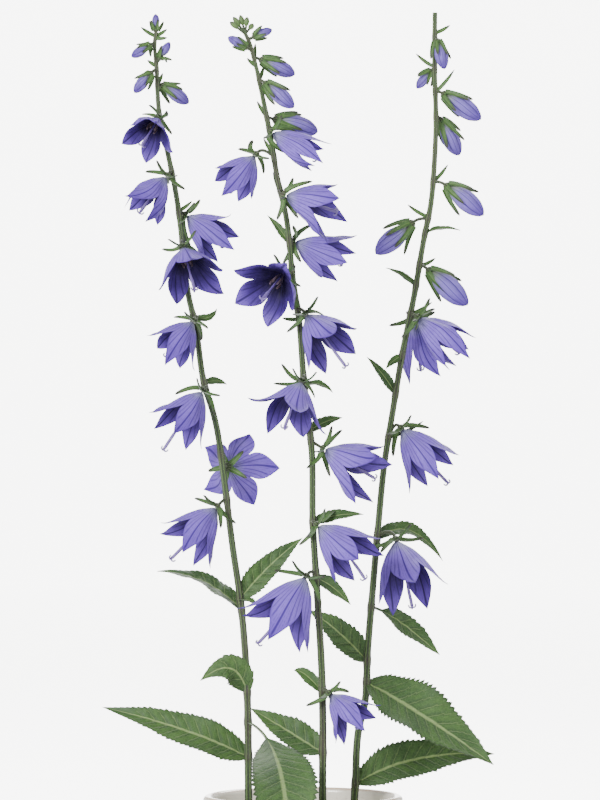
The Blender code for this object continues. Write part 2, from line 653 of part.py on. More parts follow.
def turned(name, profile):
    """A solid of revolution from a profile at +X that starts and ends on the axis."""
    mesh = bpy.data.meshes.new(name)
    points = [(radius, 0, height) for radius, height in profile]
    mesh.from_pydata(points, [(i, i + 1) for i in range(len(points) - 1)], [])
    piece = bpy.data.objects.new(name, mesh)
    bpy.context.scene.collection.objects.link(piece)
    screw = piece.modifiers.new("turn", "SCREW")
    screw.steps = VASE_SIDES
    screw.render_steps = VASE_SIDES
    screw.use_merge_vertices = True
    screw.merge_threshold = MERGE
    return piece


def outer_radius(z):
    """The vase widens quickly above its foot and then slowly to its rim."""
    widening = math.sin(math.pi / 2 * z / VASE_HEIGHT) ** VASE_SWELL
    return VASE_FOOT_RADIUS + (VASE_RIM_RADIUS - VASE_FOOT_RADIUS) * widening


def vase():
    """A plain vase: one wall, a flat foot with a small chamfer and a rounded rim."""
    rim = VASE_RIM_RADIUS
    profile = [(0, FLOOR), (outer_radius(FLOOR) - WALL - FLOOR_ROUND, FLOOR)]
    profile += [(outer_radius(z) - WALL, z) for z in (FLOOR_ROUND_TOP, *reversed(VASE_HEIGHTS))]
    profile += [(rim - WALL, VASE_HEIGHT - RIM_ROUND), (rim - WALL + RIM_ROUND, VASE_HEIGHT)]
    profile += [(rim - RIM_ROUND, VASE_HEIGHT), (rim, VASE_HEIGHT - RIM_ROUND)]
    profile += [(outer_radius(z), z) for z in VASE_HEIGHTS]
    profile += [(VASE_FOOT_RADIUS, FOOT_CHAMFER), (VASE_FOOT_RADIUS - FOOT_CHAMFER, 0), (0, 0)]
    piece = turned("vase", profile)
    paint(piece, IVORY, 0.25)


def water():
    """Fills the vase to the water level, with a plain hole round each stem."""
    profile = [(0, WATER_LEVEL), (outer_radius(WATER_LEVEL) - WALL - GAP, WATER_LEVEL)]
    below = [z for z in VASE_HEIGHTS if z < WATER_LEVEL]
    profile += [(outer_radius(z) - WALL - GAP, z) for z in (*below, FLOOR_ROUND_TOP)]
    profile += [(outer_radius(FLOOR) - WALL - FLOOR_ROUND - GAP, FLOOR + GAP), (0, FLOOR + GAP)]
    piece = turned("water", profile)
    group = bpy.data.collections.new("holes")
    bpy.context.scene.collection.children.link(group)
    for number in STEMS:
        hole = bare_stem(number, GAP, FLOOR)
        bpy.context.scene.collection.objects.unlink(hole)
        group.objects.link(hole)
    cut = piece.modifiers.new("holes", "BOOLEAN")
    cut.operation = "DIFFERENCE"
    cut.operand_type = "COLLECTION"
    cut.collection = group
    cut.solver = "EXACT"
    apply_modifiers(piece)
    for hole in list(group.objects):
        bpy.data.objects.remove(hole)
    bpy.data.collections.remove(group)
    paint(piece, WATER, 0.05)


for old in list(bpy.data.objects):
    bpy.data.objects.remove(old)
vase()
water()
for number in STEMS:
    leafy_stem(number)
flower_heads()
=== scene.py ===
"""Creeping bellflower in a vase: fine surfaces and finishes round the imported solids.

Metres, +Z up, and the front is -Y. What grows is placed in a front view of 600 x 800 pixels: u
counts to the right, v counts down, and depth says how far behind the vase's axis a point lies.
Every surface is a closed grid: rows run from pole to pole, columns close on themselves, and a
ring of columns turns right-handed about the way that the rows go, so that faces point outwards.
"""

import math
from collections import namedtuple

import bpy
import numpy as np
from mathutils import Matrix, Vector


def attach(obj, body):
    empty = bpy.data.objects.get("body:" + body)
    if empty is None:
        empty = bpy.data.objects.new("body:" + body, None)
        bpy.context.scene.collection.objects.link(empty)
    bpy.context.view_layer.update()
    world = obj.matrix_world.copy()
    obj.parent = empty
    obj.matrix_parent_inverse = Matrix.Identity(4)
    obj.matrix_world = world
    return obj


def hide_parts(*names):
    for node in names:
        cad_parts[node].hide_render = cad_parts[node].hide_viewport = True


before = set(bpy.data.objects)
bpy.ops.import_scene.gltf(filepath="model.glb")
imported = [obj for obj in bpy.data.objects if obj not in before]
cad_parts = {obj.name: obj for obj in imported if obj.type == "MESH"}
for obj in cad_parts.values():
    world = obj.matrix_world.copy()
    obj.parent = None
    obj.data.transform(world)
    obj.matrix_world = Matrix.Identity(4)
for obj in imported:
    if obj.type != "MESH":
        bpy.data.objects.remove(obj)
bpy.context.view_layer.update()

# The front view
PIXEL = 0.00042            # width that one pixel covers at the vase's axis
VIEW_DISTANCE = 1.867
VIEW_CENTRE = (300, 400)
CENTRE_X = -0.00126
CENTRE_Z = 0.326
TOP_V = 15
LOW_V = 786
FRONT = np.array((0.1, -1.0, 0.2))
SIDE = np.array((1.0, 0.0, 0.0))
DOWN = np.array((0.0, 0.0, -1.0))
OBLIQUE = np.array((0.31, 0.17, 0.93))

# The floor, which curves up into a wall all round
FLAT_RADIUS = 6.0
CURVE_RADIUS = 2.0
STAGE_HEIGHT = 5.0
STAGE_THICKNESS = 0.2
PINHOLE = 0.01             # radius round the axis that the poles close
STAGE_COLUMNS = 96
BACKDROP = 6.0             # the glow of the part behind the object

# The lights, each with its place, size and power, and the point that they all face
LIGHTS = (
    ("key", (-1.4, -1.8, 1.2), 0.9, 110),
    ("fill", (1.9, -1.5, 0.4), 1.6, 36),
    ("back", (0.6, 1.8, 1.8), 1.2, 50),
)
LIT_POINT = (0, 0, 0.3)
SKY = 1.0
LENS = 200
SENSOR = 36

# The vase and its water
VASE_HEIGHT = 0.160
VASE_FOOT_RADIUS = 0.0325
VASE_RIM_RADIUS = 0.042
WALL = 0.004
FLOOR = 0.005
FLOOR_ROUND = 0.006
FOOT_ROUND = 0.0015
VASE_SWELL = 0.8           # the smaller, the lower down it widens
THROWING_RINGS = 0.00006   # height of the fine rings in the clay
RING_SPACING = 0.0042
WATER_LEVEL = 0.105
MENISCUS = 0.0012
MENISCUS_REACH = 0.0016
GAP = 0.0003
CUT_LIFT = 0.0006
VASE_COLUMNS = 128
WATER_COLUMNS = 96

# Stems and stalks
STEM_RADII = ((14, 0.0006), (120, 0.0010), (300, 0.0012), (500, 0.0013), (786, 0.0015))
CUT_RADIUS = 0.0016
STEM_ROWS = 520
STEM_COLUMNS = 24
STEM_RIBS = 6
STEM_RIB = 0.07            # share of the radius
NODE_SWELLING = 0.18
NODE_LENGTH = 0.0022
STALK_RADIUS = 0.00062
STALK_SINK = 0.0008
STALK_BOW = 0.45           # how far before its end it turns into the flower's axis, over its reach
STALK_ROWS = 14
STALK_COLUMNS = 12
STALK_RIBS = 4
STALK_RIB = 0.06
TURN_STEP = 5              # degrees that one flower is turned on its axis beyond another

# A calyx, as heights along the flower's axis and radii
CALYX_LINE = ((0.0, 0.0008), (0.0004, 0.0013), (0.0010, 0.0018), (0.0015, 0.0020), (0.0018, 0.0018),
              (0.0020, 0.0014))
CALYX_HEIGHT = 0.0020
SETBACK = 0.0022           # how far a flower's calyx starts behind the flower's place
CALYX_RIBS = 10
CALYX_RIB = 0.06           # share of the radius
CALYX_ROWS = 12
CALYX_COLUMNS = 40
SEPAL_FROM = 0.0016        # where the sepals leave the cup, over the cup's size
SEPAL_OUT = 0.0016
SEPAL_SHARE = 0.36
SEPAL_SPREAD = 80
SEPAL_DROOP = 20
SEPAL_ELBOW = 0.45
SEPAL_HALF = 0.00125
SEPAL_ROWS = 22
BUD_SEPAL_SHARE = 0.56
BUD_SEPAL_SPREAD = 30
BUD_SEPAL_DROOP = -14
BUD_CALYX_LEAST = 0.45     # of a flower's calyx, on the tiniest bud
BUD_CALYX_GROWTH = 0.045   # the length of bud that would add a whole one

# A bell's wall: its line from root to lobe tip as slopes, how far up the lobes part, its thickness
BELL_SLOPES = ((0.0, 75, 0), (0.08, 34, 16), (0.25, 20, 28), (0.46, 15, 24), (0.70, 6, 44),
               (0.85, 8, 56), (1.0, 16, 84))
LOBES = 5
SINUS = 0.46
LOBE_POINT = 1.05          # how fast a lobe narrows to its tip
LOBE_BELLY = 0.28          # and how much it is rounded on the way
PETAL = 0.00032
LOBE_COLUMNS = 18
BELL_ROWS = 26
WALL_SAMPLES = 201
PLEAT = 0.00055
KEEL = 0.00030
ROLLED = 0.00075
TWISTED = 0.0006           # how much a lobe's tip is twisted out of the wall
SWAY = 0.10                # and turned aside, in radians
PULL_POWER = 1.7
LONGEST_PULL = 0.0075      # the furthest that a lobe's tip may lie from the regular flower's
STYLE_REACH = 1.03
STYLE_HIDDEN = 0.88        # how far a style reaches that doesn't show
STYLE_ROOT = 0.10
STYLE_RADIUS = 0.00042
STYLE_SWELLING = 0.7
STYLE_SHORT = 0.0012       # how much of the reach the stigmas take up
STYLE_ROWS = 24
STYLE_COLUMNS = 12
STIGMAS = 3
STIGMA_ROWS = 16
STIGMA_COLUMNS = 8
STIGMA_TURN = (-10, 205)   # degrees, from where a stigma leaves the style to its tip
STIGMA_CURL = 0.00085
STIGMA_RADII = (0.00046, 0.00028)
STAMEN_ROWS = 14
STAMEN_COLUMNS = 8
STAMEN_RADIUS = 0.00022
ANTHER_RADIUS = 0.00026    # more than the stamen's
STAMEN_REACH = (0.05, 0.34)       # of the flower's length, at foot and top
STAMEN_SPREAD = (0.0010, 0.0017)
STAMEN_BOW = 0.0012

# Buds
BUD_LINE = ((0.0, 0.0), (0.04, 0.22), (0.12, 0.46), (0.30, 0.84), (0.50, 1.0), (0.70, 0.90),
            (0.86, 0.62), (0.95, 0.34), (1.0, 0.0))
BUD_PLEAT = 0.17
BUD_SLIMNESS = 0.21
BUD_TWIST = 0.35
BUD_COLUMNS = 60
BUD_ROWS = 26
GREEN_BUD_COLUMNS = 30
GREEN_BUD_STALK = 0.0005
GREEN_BUD_FROM = 0.40      # where a green bud starts, of the way from the stem to its tip

# Leaves
BLADE = 0.00034
POINT = 1.1                # how a blade narrows to its tip
FOLD = 0.30
TOOTH = 0.13
TOOTH_LENGTH = 0.0021
ROWS_PER_TOOTH = 6
LEAF_COLUMNS = 17          # across one face, an odd number, so that one follows the rib
SMALL_LEAF_COLUMNS = 9
SMALL_LEAF = 0.006         # the greatest width of a leaf with fewer columns
VEIN_SPACING = 0.0050
VEIN_SLANT = 0.85          # how far forward a side vein runs, over the leaf's half width
VEIN_DEPTH = 0.00016
LEAF_WAVE = 0.10
LEAF_BULGE = 0.00022       # height of the soft dents between the veins
LEAF_STALK = 0.0007
RIB = 0.00045
RIB_WIDTH = 0.0006
FOLD_ROUND = 0.1           # of the half width
BRACT_HALF = 0.0009
BRACT_ROWS = 18
BRACT_SAG = 0.12

HAIR_LENGTH = 0.00062
HAIR_RADIUS = 0.00005
HAIRS_PER_STEM = 2600
BARE_FOOT = 0.28           # share of a stem, from its cut end, that has no hairs

# Where the random draws of each kind start
BELL_SEED = 100
LEAF_SEED = 300
CALYX_SEED = 500

Stem = namedtuple("Stem", "line depth_low depth_high foot least_radius")
Flower = namedtuple("Flower", "stem leaves_at base depth lean toward length flare lobes sepals style",
                    defaults=(None,))
Bud = namedtuple("Bud", "stem leaves_at base depth lean toward length sepals")
Leaf = namedtuple("Leaf", "stem root_v bend tip width face stalk base", defaults=(0, 0.6))

STEMS = {
    1: Stem(((156, 32), (154.6, 44), (156.3, 64), (159.5, 115), (168.4, 156), (177, 200), (181.5, 235),
             (189.6, 301), (194.5, 321), (205, 387), (213.5, 414), (224.7, 484), (231.7, 540),
             (241.5, 610), (245.4, 656), (248, 725), (248.4, 785)),
            0.008, 0.026,
            ((-0.0222, 0.0080, 0.130), (-0.0150, 0.0110, FLOOR + CUT_LIFT)), 0.0006),
    2: Stem(((242, 28), (247, 37), (255.9, 66), (261, 89), (271, 140), (277.6, 179), (285.8, 215),
             (292.8, 278), (299, 320), (303.3, 375), (312, 456), (312.7, 518), (317.2, 594),
             (322, 678), (322.8, 720), (322.6, 785)),
            -0.014, -0.030,
            ((0.0084, -0.0142, 0.130), (0.0110, -0.0170, FLOOR + CUT_LIFT)), 0.0006),
    3: Stem(((435, 12.5), (434.6, 64), (435.9, 128), (434.6, 159), (430.4, 207), (424.5, 236),
             (414.3, 295), (402.5, 353), (392.8, 411), (384.4, 464), (378.3, 525), (372.9, 587),
             (367.6, 652), (364.5, 705), (359, 728), (355.3, 785)),
            0.009, 0.023,
            ((0.0200, 0.0100, 0.130), (0.0080, 0.0140, FLOOR + CUT_LIFT)), 0.00095),
}

# The last three fields are the tips of lobes, sepals and style that show, in the front view; a row
# without the last one has a style that doesn't show
FLOWERS = [Flower(*row) for row in (
    (1, 116, (158, 119), -0.0050, -29, 38, 0.0200, 0.80,
     ((121, 143), (134, 125), (145.5, 163), (173, 153)),
     ((149, 105), (142, 113.5), (167, 111), (172, 134.6))),
    (1, 172, (166, 177), -0.0030, -36, 10, 0.0227, 0.50,
     ((126.4, 197), (129, 210.5), (132, 219), (146, 223), (159.5, 226)), ((145.5, 172),)),
    (1, 213, (187, 216), 0.0042, 52, 4, 0.0240, 0.48,
     ((231.7, 213.3), (239.4, 237), (233, 252), (217, 263), (204.4, 263)),
     ((194.5, 203), (191, 249))),
    (1, 243, (183, 248), -0.0078, 16, 30, 0.0256, 0.80,
     ((159, 289), (177, 304.5), (221, 296), (222.6, 269)),
     ((161.6, 248.4), (174, 260), (201, 257))),
    (1, 318, (193, 322), -0.0055, -37, 15, 0.0227, 0.55,
     ((147, 335.4), (156, 347.3), (161, 365.6), (178.4, 367.7), (194.5, 370)),
     ((173.5, 317), (208, 328.4), (201.5, 340.3))),
    (1, 389, (202, 392), -0.0050, -34, 12, 0.0252, 0.50,
     ((149.6, 412.6), (155, 430), (174, 433.7), (187, 451), (201.5, 449)),
     ((175, 394.3), (215, 416)), (164.4, 448.4)),
    (1, 455, (228, 467), 0.0050, 80, -69, 0.0235, 0.97,
     ((251, 434), (280, 467), (251, 507), (206, 493), (206, 444)), ((208, 471),)),
    (1, 499, (216, 508), -0.0030, -39, 10, 0.0260, 0.50,
     ((160, 522.8), (161.6, 536), (181, 551.5), (195, 567), (210.7, 569)),
     ((194.5, 498), (220.5, 528.4)), (172, 558)),
    (2, 130, (272.5, 133), -0.0010, 60, 0, 0.0248, 0.05,
     ((324.8, 148), (323.5, 163.3), (315, 165.8), (312, 171)), ((298, 134), (286.5, 153))),
    (2, 157, (254.6, 156), 0.0, -37, 5, 0.0218, 0.60,
     ((215, 167.7), (213.8, 180.5), (224, 198), (239.5, 202.5), (252, 199.6)),
     ((252.7, 139.7), (238, 148.6), (263.6, 173.5))),
    (2, 190, (286, 195.5), -0.0044, 72, 5, 0.0260, 0.45,
     ((337.7, 184), (339.8, 198), (347.5, 223.5), (319.4, 237.5)),
     ((312.4, 180.7), (298.4, 219.3))),
    (2, 240, (295, 242), 0.0044, 65, -7, 0.0256, 0.40,
     ((356.6, 253), (322.3, 277.5), (338.4, 279.6)),
     ((292.8, 225.6), (311.7, 225), (301, 262))),
    (2, 270, (282.6, 274.6), -0.0032, -38, 48, 0.0236, 0.97,
     ((235.3, 268.4), (232.5, 300), (265.4, 327.3), (294, 312)),
     ((273.8, 254.4), (295, 265), (301, 286), (283, 289.4))),
    (2, 309, (306.8, 315), -0.0040, 37, 20, 0.0265, 0.65,
     ((356.6, 328), (358, 352), (327, 373.6), (309, 369.4)), ((318, 296.5), (325, 316)), (344.7, 365)),
    (2, 378, (301, 382.5), -0.0060, -20, 20, 0.0252, 0.70,
     ((245.4, 398.4), (267, 433.6), (306, 438)),
     ((281.6, 363.8), (273.8, 383.5), (316.6, 372), (315, 397.6))),
    (2, 440, (325, 449.5), 0.0, 60, 10, 0.0286, 0.55,
     ((384, 445.8), (394, 462), (375.5, 501.7), (355, 505.5)),
     ((342, 429.7), (306.6, 468), (330, 476.4))),
    (2, 522, (318.5, 526), -0.0040, 48, 10, 0.0290, 0.45,
     ((381.6, 539), (382.4, 558), (352.5, 583), (335, 583.6)), ((335, 510),), (364, 577.5)),
    (2, 574, (305.5, 578), -0.0040, -30, 12, 0.0319, 0.50,
     ((245.6, 618), (269.5, 646.6), (309, 653.7)),
     ((274.4, 570), (285, 593.5), (321, 606)), (259, 642.4)),
    (2, 690, (330.5, 694.5), -0.0040, 42, 15, 0.0218, 0.50,
     ((376.7, 717.8), (363, 733), (343.5, 745.5)), ((349.4, 692), (344.5, 711), (306, 705.6))),
    (3, 314, (414.3, 320), 0.0088, 8, -20, 0.0269, 0.25,
     ((411, 385), (439, 377)), ()),
    (3, 314, (419, 318.5), -0.0030, 49, 8, 0.0265, 0.30,
     ((476, 338), (470, 348), (468.5, 360.7), (457, 366), (446, 366.6)), ((435, 308.6),)),
    (3, 437, (402, 429.5), 0.0, 38, 5, 0.0265, 0.45,
     ((460, 455), (454, 465), (440.3, 478), (425.7, 488), (409.6, 493.3)),
     ((429.5, 428), (393, 456.5)), (447, 482)),
    (3, 535, (396, 541), -0.0053, 15, 18, 0.0311, 0.55,
     ((449.4, 585), (430, 608), (392, 615.7), (379, 604)),
     ((380.6, 552.7), (404.3, 563.7)), (412, 606)),
)]

BUDS = [Bud(*row) for row in (
    (1, 33, (155.7, 32.5), 0.0, 180, 0, 0.0080, ()),
    (1, 42, (152.5, 44), -0.0010, -58, 10, 0.0107, ((136, 44), (151, 57))),
    (1, 62, (159, 60), -0.0010, 149, 10, 0.0090, ((167, 63), (172, 60))),
    (1, 70, (152.5, 71.4), -0.0020, -40, 10, 0.0122, ((134, 78), (148, 90))),
    (1, 84, (160, 84), 0.0020, 57, -15, 0.0151, ((181, 83.5), (169.7, 103.3))),
    (2, 40, (252, 37.6), 0.0010, 113, -10, 0.0092, ()),
    (2, 50, (248.3, 48.5), -0.0010, -119, 10, 0.0098, ()),
    (2, 57, (259, 58.7), 0.0020, 67, -12, 0.0166, ((286.5, 62.5), (277, 76.5))),
    (2, 80, (263.6, 81.6), -0.0020, 49, 12, 0.0171, ((290.4, 90.6), (275, 105))),
    (2, 117, (272.5, 118.6), 0.0050, 75, -18, 0.0206, ((302, 114), (294, 137))),
    (3, 37, (436.5, 38.3), -0.0020, 14, 15, 0.0143, ((451, 58.7),)),
    (3, 68, (432.7, 69), 0.0020, -40, -12, 0.0108, ((417.4, 76.5), (427, 85))),
    (3, 92, (441.6, 92.5), -0.0020, 55, 12, 0.0208, ((473, 99.5), (459, 117.3))),
    (3, 117, (439, 117.3), 0.0030, 29, -15, 0.0189, ((464.6, 140.3), (447.4, 148))),
    (3, 182, (444.3, 184), -0.0020, 51, 12, 0.0218, ((479, 192), (460, 215.5))),
    (3, 219, (414.3, 221.3), 0.0020, -50, -10, 0.0218, ((382.7, 228.7), (404, 255))),
    (3, 265, (426.7, 268.3), -0.0020, 48, 12, 0.0239, ((462, 281), (441.4, 302))),
)]

# root_v is where the leaf leaves its stem; bend and tip are u, v and a depth behind the stem; the
# larger the base, the longer the wedge that the blade starts with
LEAVES = [Leaf(*row) for row in (
    (1, 610, (208, 572, 0.004), (157, 571, 0.008), 0.0105, (0, -0.4, 1)),
    (1, 599, (266, 565, 0.003), (303, 537.5, 0.005), 0.0106, (0, -1, 0.4)),
    (1, 600, (249, 598, -0.008), (257, 605, -0.009), 0.0042, (0, -0.5, 1)),
    (1, 692, (236, 650, -0.006), (200, 681, -0.003), 0.0125, (-0.3, -1, 0.3)),
    (1, 757, (190, 727, -0.002), (102, 707, 0.006), 0.0158, (0, -1, 0.6)),
    (1, 722, (290, 742, -0.053), (287, 856, -0.066), 0.027, (0.1, -0.8, 1), 0.25, 1.2),
    (1, 383, (216, 378, 0.003), (227, 384.5, 0.004), 0.0036, (0, -1, 0.5)),
    (1, 317, (212, 322, 0.002), (217, 308, 0.003), 0.0034, (0, -1, 0.5)),
    (2, 243, (280, 227, 0.002), (267, 215, 0.002), 0.0034, (0, -1, 0.3)),
    (2, 384, (322, 380, -0.003), (333, 392.6, -0.004), 0.0038, (0, -0.7, 1)),
    (2, 431, (326, 419, 0.002), (342.6, 417.5, 0.004), 0.0052, (0, -1, 0.7)),
    (2, 523, (335, 512, 0.002), (364, 514.4, 0.003), 0.0056, (0, -1, 0.7)),
    (2, 578, (333, 584, 0.004), (351, 605, 0.005), 0.0066, (0.2, -1, 0.5)),
    (2, 692, (303, 668, 0.002), (293.8, 670.5, 0.002), 0.0055, (0, -1, 0.5)),
    (2, 753, (292, 733, 0.006), (250, 708, 0.008), 0.0135, (0, -1, 0.6)),
    (3, 233, (440, 225, -0.003), (460.5, 230, -0.005), 0.0036, (0, -0.6, 1)),
    (3, 286, (404, 273, 0.002), (386, 267.6, 0.002), 0.0032, (0, -0.8, 1)),
    (3, 394, (384, 373, 0.002), (366.6, 356.6, 0.002), 0.0044, (0, -1, 0.5)),
    (3, 356, (392, 360, -0.003), (385.7, 369, -0.004), 0.0034, (0, -1, 0.5)),
    (3, 539, (410, 511, 0.009), (443, 561, 0.006), 0.0080, (0.2, -0.9, 1)),
    (3, 607, (392, 611, 0.009), (440, 655, 0.006), 0.0102, (0.3, -1, 0.8), 0.20, 1.0),
    (3, 661, (338, 628, 0.0), (309, 610, -0.002), 0.0118, (0, -1, 0.4)),
    (3, 682, (413, 706, -0.006), (494, 765, -0.016), 0.025, (0.4, -1, 0.6), 0, 0.85),
    (3, 784, (408, 749, 0.003), (495, 754, 0.007), 0.0175, (0, -1, 0.55), 0, 0.75),
)]

# stem, v of the root, then u, v and depth of the tip
BRACTS = (
    (1, 36, 141, 27, -0.002), (1, 36, 167, 29, 0.001), (1, 38, 167, 37.5, -0.003),
    (1, 66, 147.4, 60, 0.0), (1, 84, 162.7, 73, 0.002), (1, 211, 192, 201, 0.002),
    (2, 60, 255.3, 43.4, 0.002), (2, 66, 247, 58, -0.002), (2, 80, 264, 66, 0.003),
    (2, 116, 257, 101, 0.001), (2, 154, 263.6, 138.4, 0.001), (2, 193, 273, 172, 0.0),
    (2, 319, 282.3, 318, 0.001), (2, 312, 296, 296, -0.004), (3, 33, 450, 25, 0.0005),
    (3, 67, 416, 53.6, 0.002), (3, 92, 454.4, 69.5, -0.003), (3, 182, 448, 164.5, 0.003),
    (3, 217, 407.7, 204.5, 0.0), (3, 266, 435.5, 258, 0.004), (3, 314, 432, 302, 0.0),
    (3, 437, 423.4, 421, 0.005),
)

# u, v and depth of the tip of each green bud in the crowded top of one stem
GREEN_BUDS = (
    (233, 16.6, 0.0), (240, 14.7, 0.002), (247, 16.6, -0.001), (229.8, 21.7, -0.002), (253.4, 23.6, 0.001),
)
GREEN_BUD_STEM = 2
GREEN_BUD_ROOT_V = 34
GREEN_BUD_RADIUS = 0.0012


def unit(vectors):
    """Each vector over its length."""
    return vectors / np.linalg.norm(vectors, axis=-1, keepdims=True)


def ring(count, start=0.0):
    """Angles evenly spaced round a circle, from a start in spaces."""
    return 2 * math.pi * (np.arange(count) + start) / count


def even(count):
    """Evenly spaced numbers from 0 to 1."""
    return np.linspace(0, 1, count)


def summed(steps):
    """Running sums, from 0 on."""
    return np.concatenate(([0], np.cumsum(steps)))


def travelled(points):
    """How far along a line of points each of them lies."""
    return summed(np.linalg.norm(np.diff(points, axis=0), axis=1))


def eased(x):
    """From -1 to 1, closer together towards both ends: the mean of x and sin(pi / 2 * x)."""
    return 0.5 * x + 0.5 * np.sin(math.pi * x / 2)


def outward(first, second, angle):
    """The way that lies at an angle from the first vector towards the second."""
    return math.cos(angle) * first + math.sin(angle) * second


def around(base, axes, radius, angle, height):
    """Points round an axis, from their distances from it, angles about it and heights along it."""
    east, north = radius * np.cos(angle), radius * np.sin(angle)
    return base + east[..., None] * axes[0] + north[..., None] * axes[1] + height[..., None] * axes[2]


def side_vectors(direction, hint):
    """Two unit vectors square to each direction, the first as near to the hint as can be."""
    second = unit(np.cross(direction, hint))
    first = unit(np.cross(second, direction))
    return first, second


def smooth(value, low, high):
    """0 below low, 1 above high, and an even S between them."""
    x = np.clip((value - low) / (high - low), 0, 1)
    return x * x * (3 - 2 * x)


def from_view(u, v, depth):
    """The point that is seen at u, v and lies depth behind the vase's axis."""
    scale = PIXEL * (VIEW_DISTANCE + depth) / VIEW_DISTANCE
    centre_u, centre_v = VIEW_CENTRE
    return np.array((CENTRE_X + (u - centre_u) * scale, depth, CENTRE_Z + (centre_v - v) * scale))


def stem_depth(number, v):
    """A stem's depth changes evenly from its low end to its top."""
    stem = STEMS[number]
    return stem.depth_low + (stem.depth_high - stem.depth_low) * (LOW_V - v) / (LOW_V - TOP_V)


def stem_point(number, v):
    """The middle of a stem where it passes v."""
    line = STEMS[number].line
    u = np.interp(v, [point[1] for point in line], [point[0] for point in line])
    return from_view(float(u), v, stem_depth(number, v))


def smooth_line(points, count):
    """A curve through points: a cubic between each two, as steep at a point as the parabola through
    it and its neighbours. Returns count points, evenly spaced, and how far along each lies."""
    points = np.asarray(points, float)
    at = travelled(points)
    slopes = np.gradient(points, at, axis=0)
    far = np.linspace(0, at[-1], count)
    i = np.clip(np.searchsorted(at, far, side="right") - 1, 0, len(at) - 2)
    step = (at[i + 1] - at[i])[:, None]
    x = (far - at[i])[:, None] / step
    line = (points[i] * (2 * x ** 3 - 3 * x ** 2 + 1) + slopes[i] * step * (x ** 3 - 2 * x ** 2 + x)
            + points[i + 1] * (3 * x ** 2 - 2 * x ** 3) + slopes[i + 1] * step * (x ** 3 - x ** 2))
    return line, far


def arch(start, bend, end, t):
    """A parabola from start, at t 0, to end, at t 1, that leaves and arrives along lines to bend."""
    t = t[:, None]
    return (1 - t) ** 2 * start + 2 * t * (1 - t) * bend + t ** 2 * end


class Skin:
    """Closed surfaces gathered into one mesh, with a number for each mark at each of their points."""

    def __init__(self, *marks):
        self.points = []
        self.quads = []
        self.triangles = []
        self.marks = {mark: [] for mark in marks}
        self.count = 0

    def grid(self, points, **marks):
        """A grid of points that closes over its columns, with a pole in the middle of each end row."""
        rows, columns = points.shape[:2]
        index = self.count + np.arange(rows * columns).reshape(rows, columns)
        beside = np.roll(index, -1, axis=1)
        self.quads.append(np.stack((index[:-1], beside[:-1], beside[1:], index[1:]), -1).reshape(-1, 4))
        start = np.full(columns, self.count + rows * columns)
        self.triangles.append(np.stack((start, beside[0], index[0]), -1))
        self.triangles.append(np.stack((index[-1], beside[-1], start + 1), -1))
        self.points += [points.reshape(-1, 3), points[:1].mean(axis=1), points[-1:].mean(axis=1)]
        for name, values in self.marks.items():
            value = np.broadcast_to(marks.get(name, 0.0), (rows, columns))
            values += [value.ravel(), value[:1].mean(axis=1), value[-1:].mean(axis=1)]
        self.count += rows * columns + 2

    def spikes(self, points, ways, length, radius):
        """A three-sided spike with a closed foot on each point."""
        first, second = side_vectors(ways, OBLIQUE)
        corners = [points + radius * outward(first, second, angle) for angle in ring(3)]
        corners.append(points + ways * length[:, None])
        n = len(points)
        index = self.count + np.arange(4 * n).reshape(4, n)
        for a, b, c in ((0, 1, 3), (1, 2, 3), (2, 0, 3), (2, 1, 0)):
            self.triangles.append(np.stack((index[a], index[b], index[c]), -1))
        self.points += corners
        for values in self.marks.values():
            values.append(np.ones(4 * n))
        self.count += 4 * n

    def object(self, name, finish, crease=70):
        """Makes the object, with sharp edges where its faces meet at more than the crease."""
        points = np.concatenate(self.points)
        triangles = np.concatenate(self.triangles)
        quads = np.concatenate(self.quads) if self.quads else np.zeros((0, 4), int)
        mesh = bpy.data.meshes.new(name)
        mesh.vertices.add(len(points))
        mesh.vertices.foreach_set("co", points.astype(np.float32).ravel())
        corners = np.concatenate((quads.ravel(), triangles.ravel()))
        mesh.loops.add(len(corners))
        mesh.loops.foreach_set("vertex_index", corners.astype(np.int32))
        sizes = np.concatenate((np.full(len(quads), 4), np.full(len(triangles), 3)))
        mesh.polygons.add(len(sizes))
        mesh.polygons.foreach_set("loop_start", (np.cumsum(sizes) - sizes).astype(np.int32))
        mesh.update(calc_edges=True)
        mesh.shade_smooth()
        mesh.set_sharp_from_angle(angle=math.radians(crease))
        for mark, values in self.marks.items():
            layer = mesh.attributes.new(mark, "FLOAT", "POINT")
            layer.data.foreach_set("value", np.concatenate(values).astype(np.float32))
        mesh.materials.append(finish)
        piece = bpy.data.objects.new(name, mesh)
        bpy.context.scene.collection.objects.link(piece)
        return piece

    def piece(self, name, finish, slot, node):
        """Makes the object, which stands for the given node and rides with the body."""
        piece = self.object(name, finish)
        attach(piece, "root")
        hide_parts(node)


def tube(line, radius, columns, hint, rib=0.0, ribs=0):
    """Rings of a radius round a line. Ribs raise it by a cosine of the angle times their number."""
    direction = unit(np.gradient(line, axis=0))
    first, second = side_vectors(direction, hint)
    angle = ring(columns)
    radius = np.asarray(radius)[:, None] * (1 + rib * np.cos(ribs * angle))
    across = np.cos(angle)[None, :, None] * first[:, None] + np.sin(angle)[None, :, None] * second[:, None]
    return line[:, None] + radius[..., None] * across


def node_heights(number):
    """The heights at which leaves, flowers and buds leave a stem."""
    places = [shape.root_v for shape in LEAVES if shape.stem == number]
    places += [head.leaves_at for head in FLOWERS + BUDS if head.stem == number]
    return np.array([stem_point(number, v)[2] for v in places])


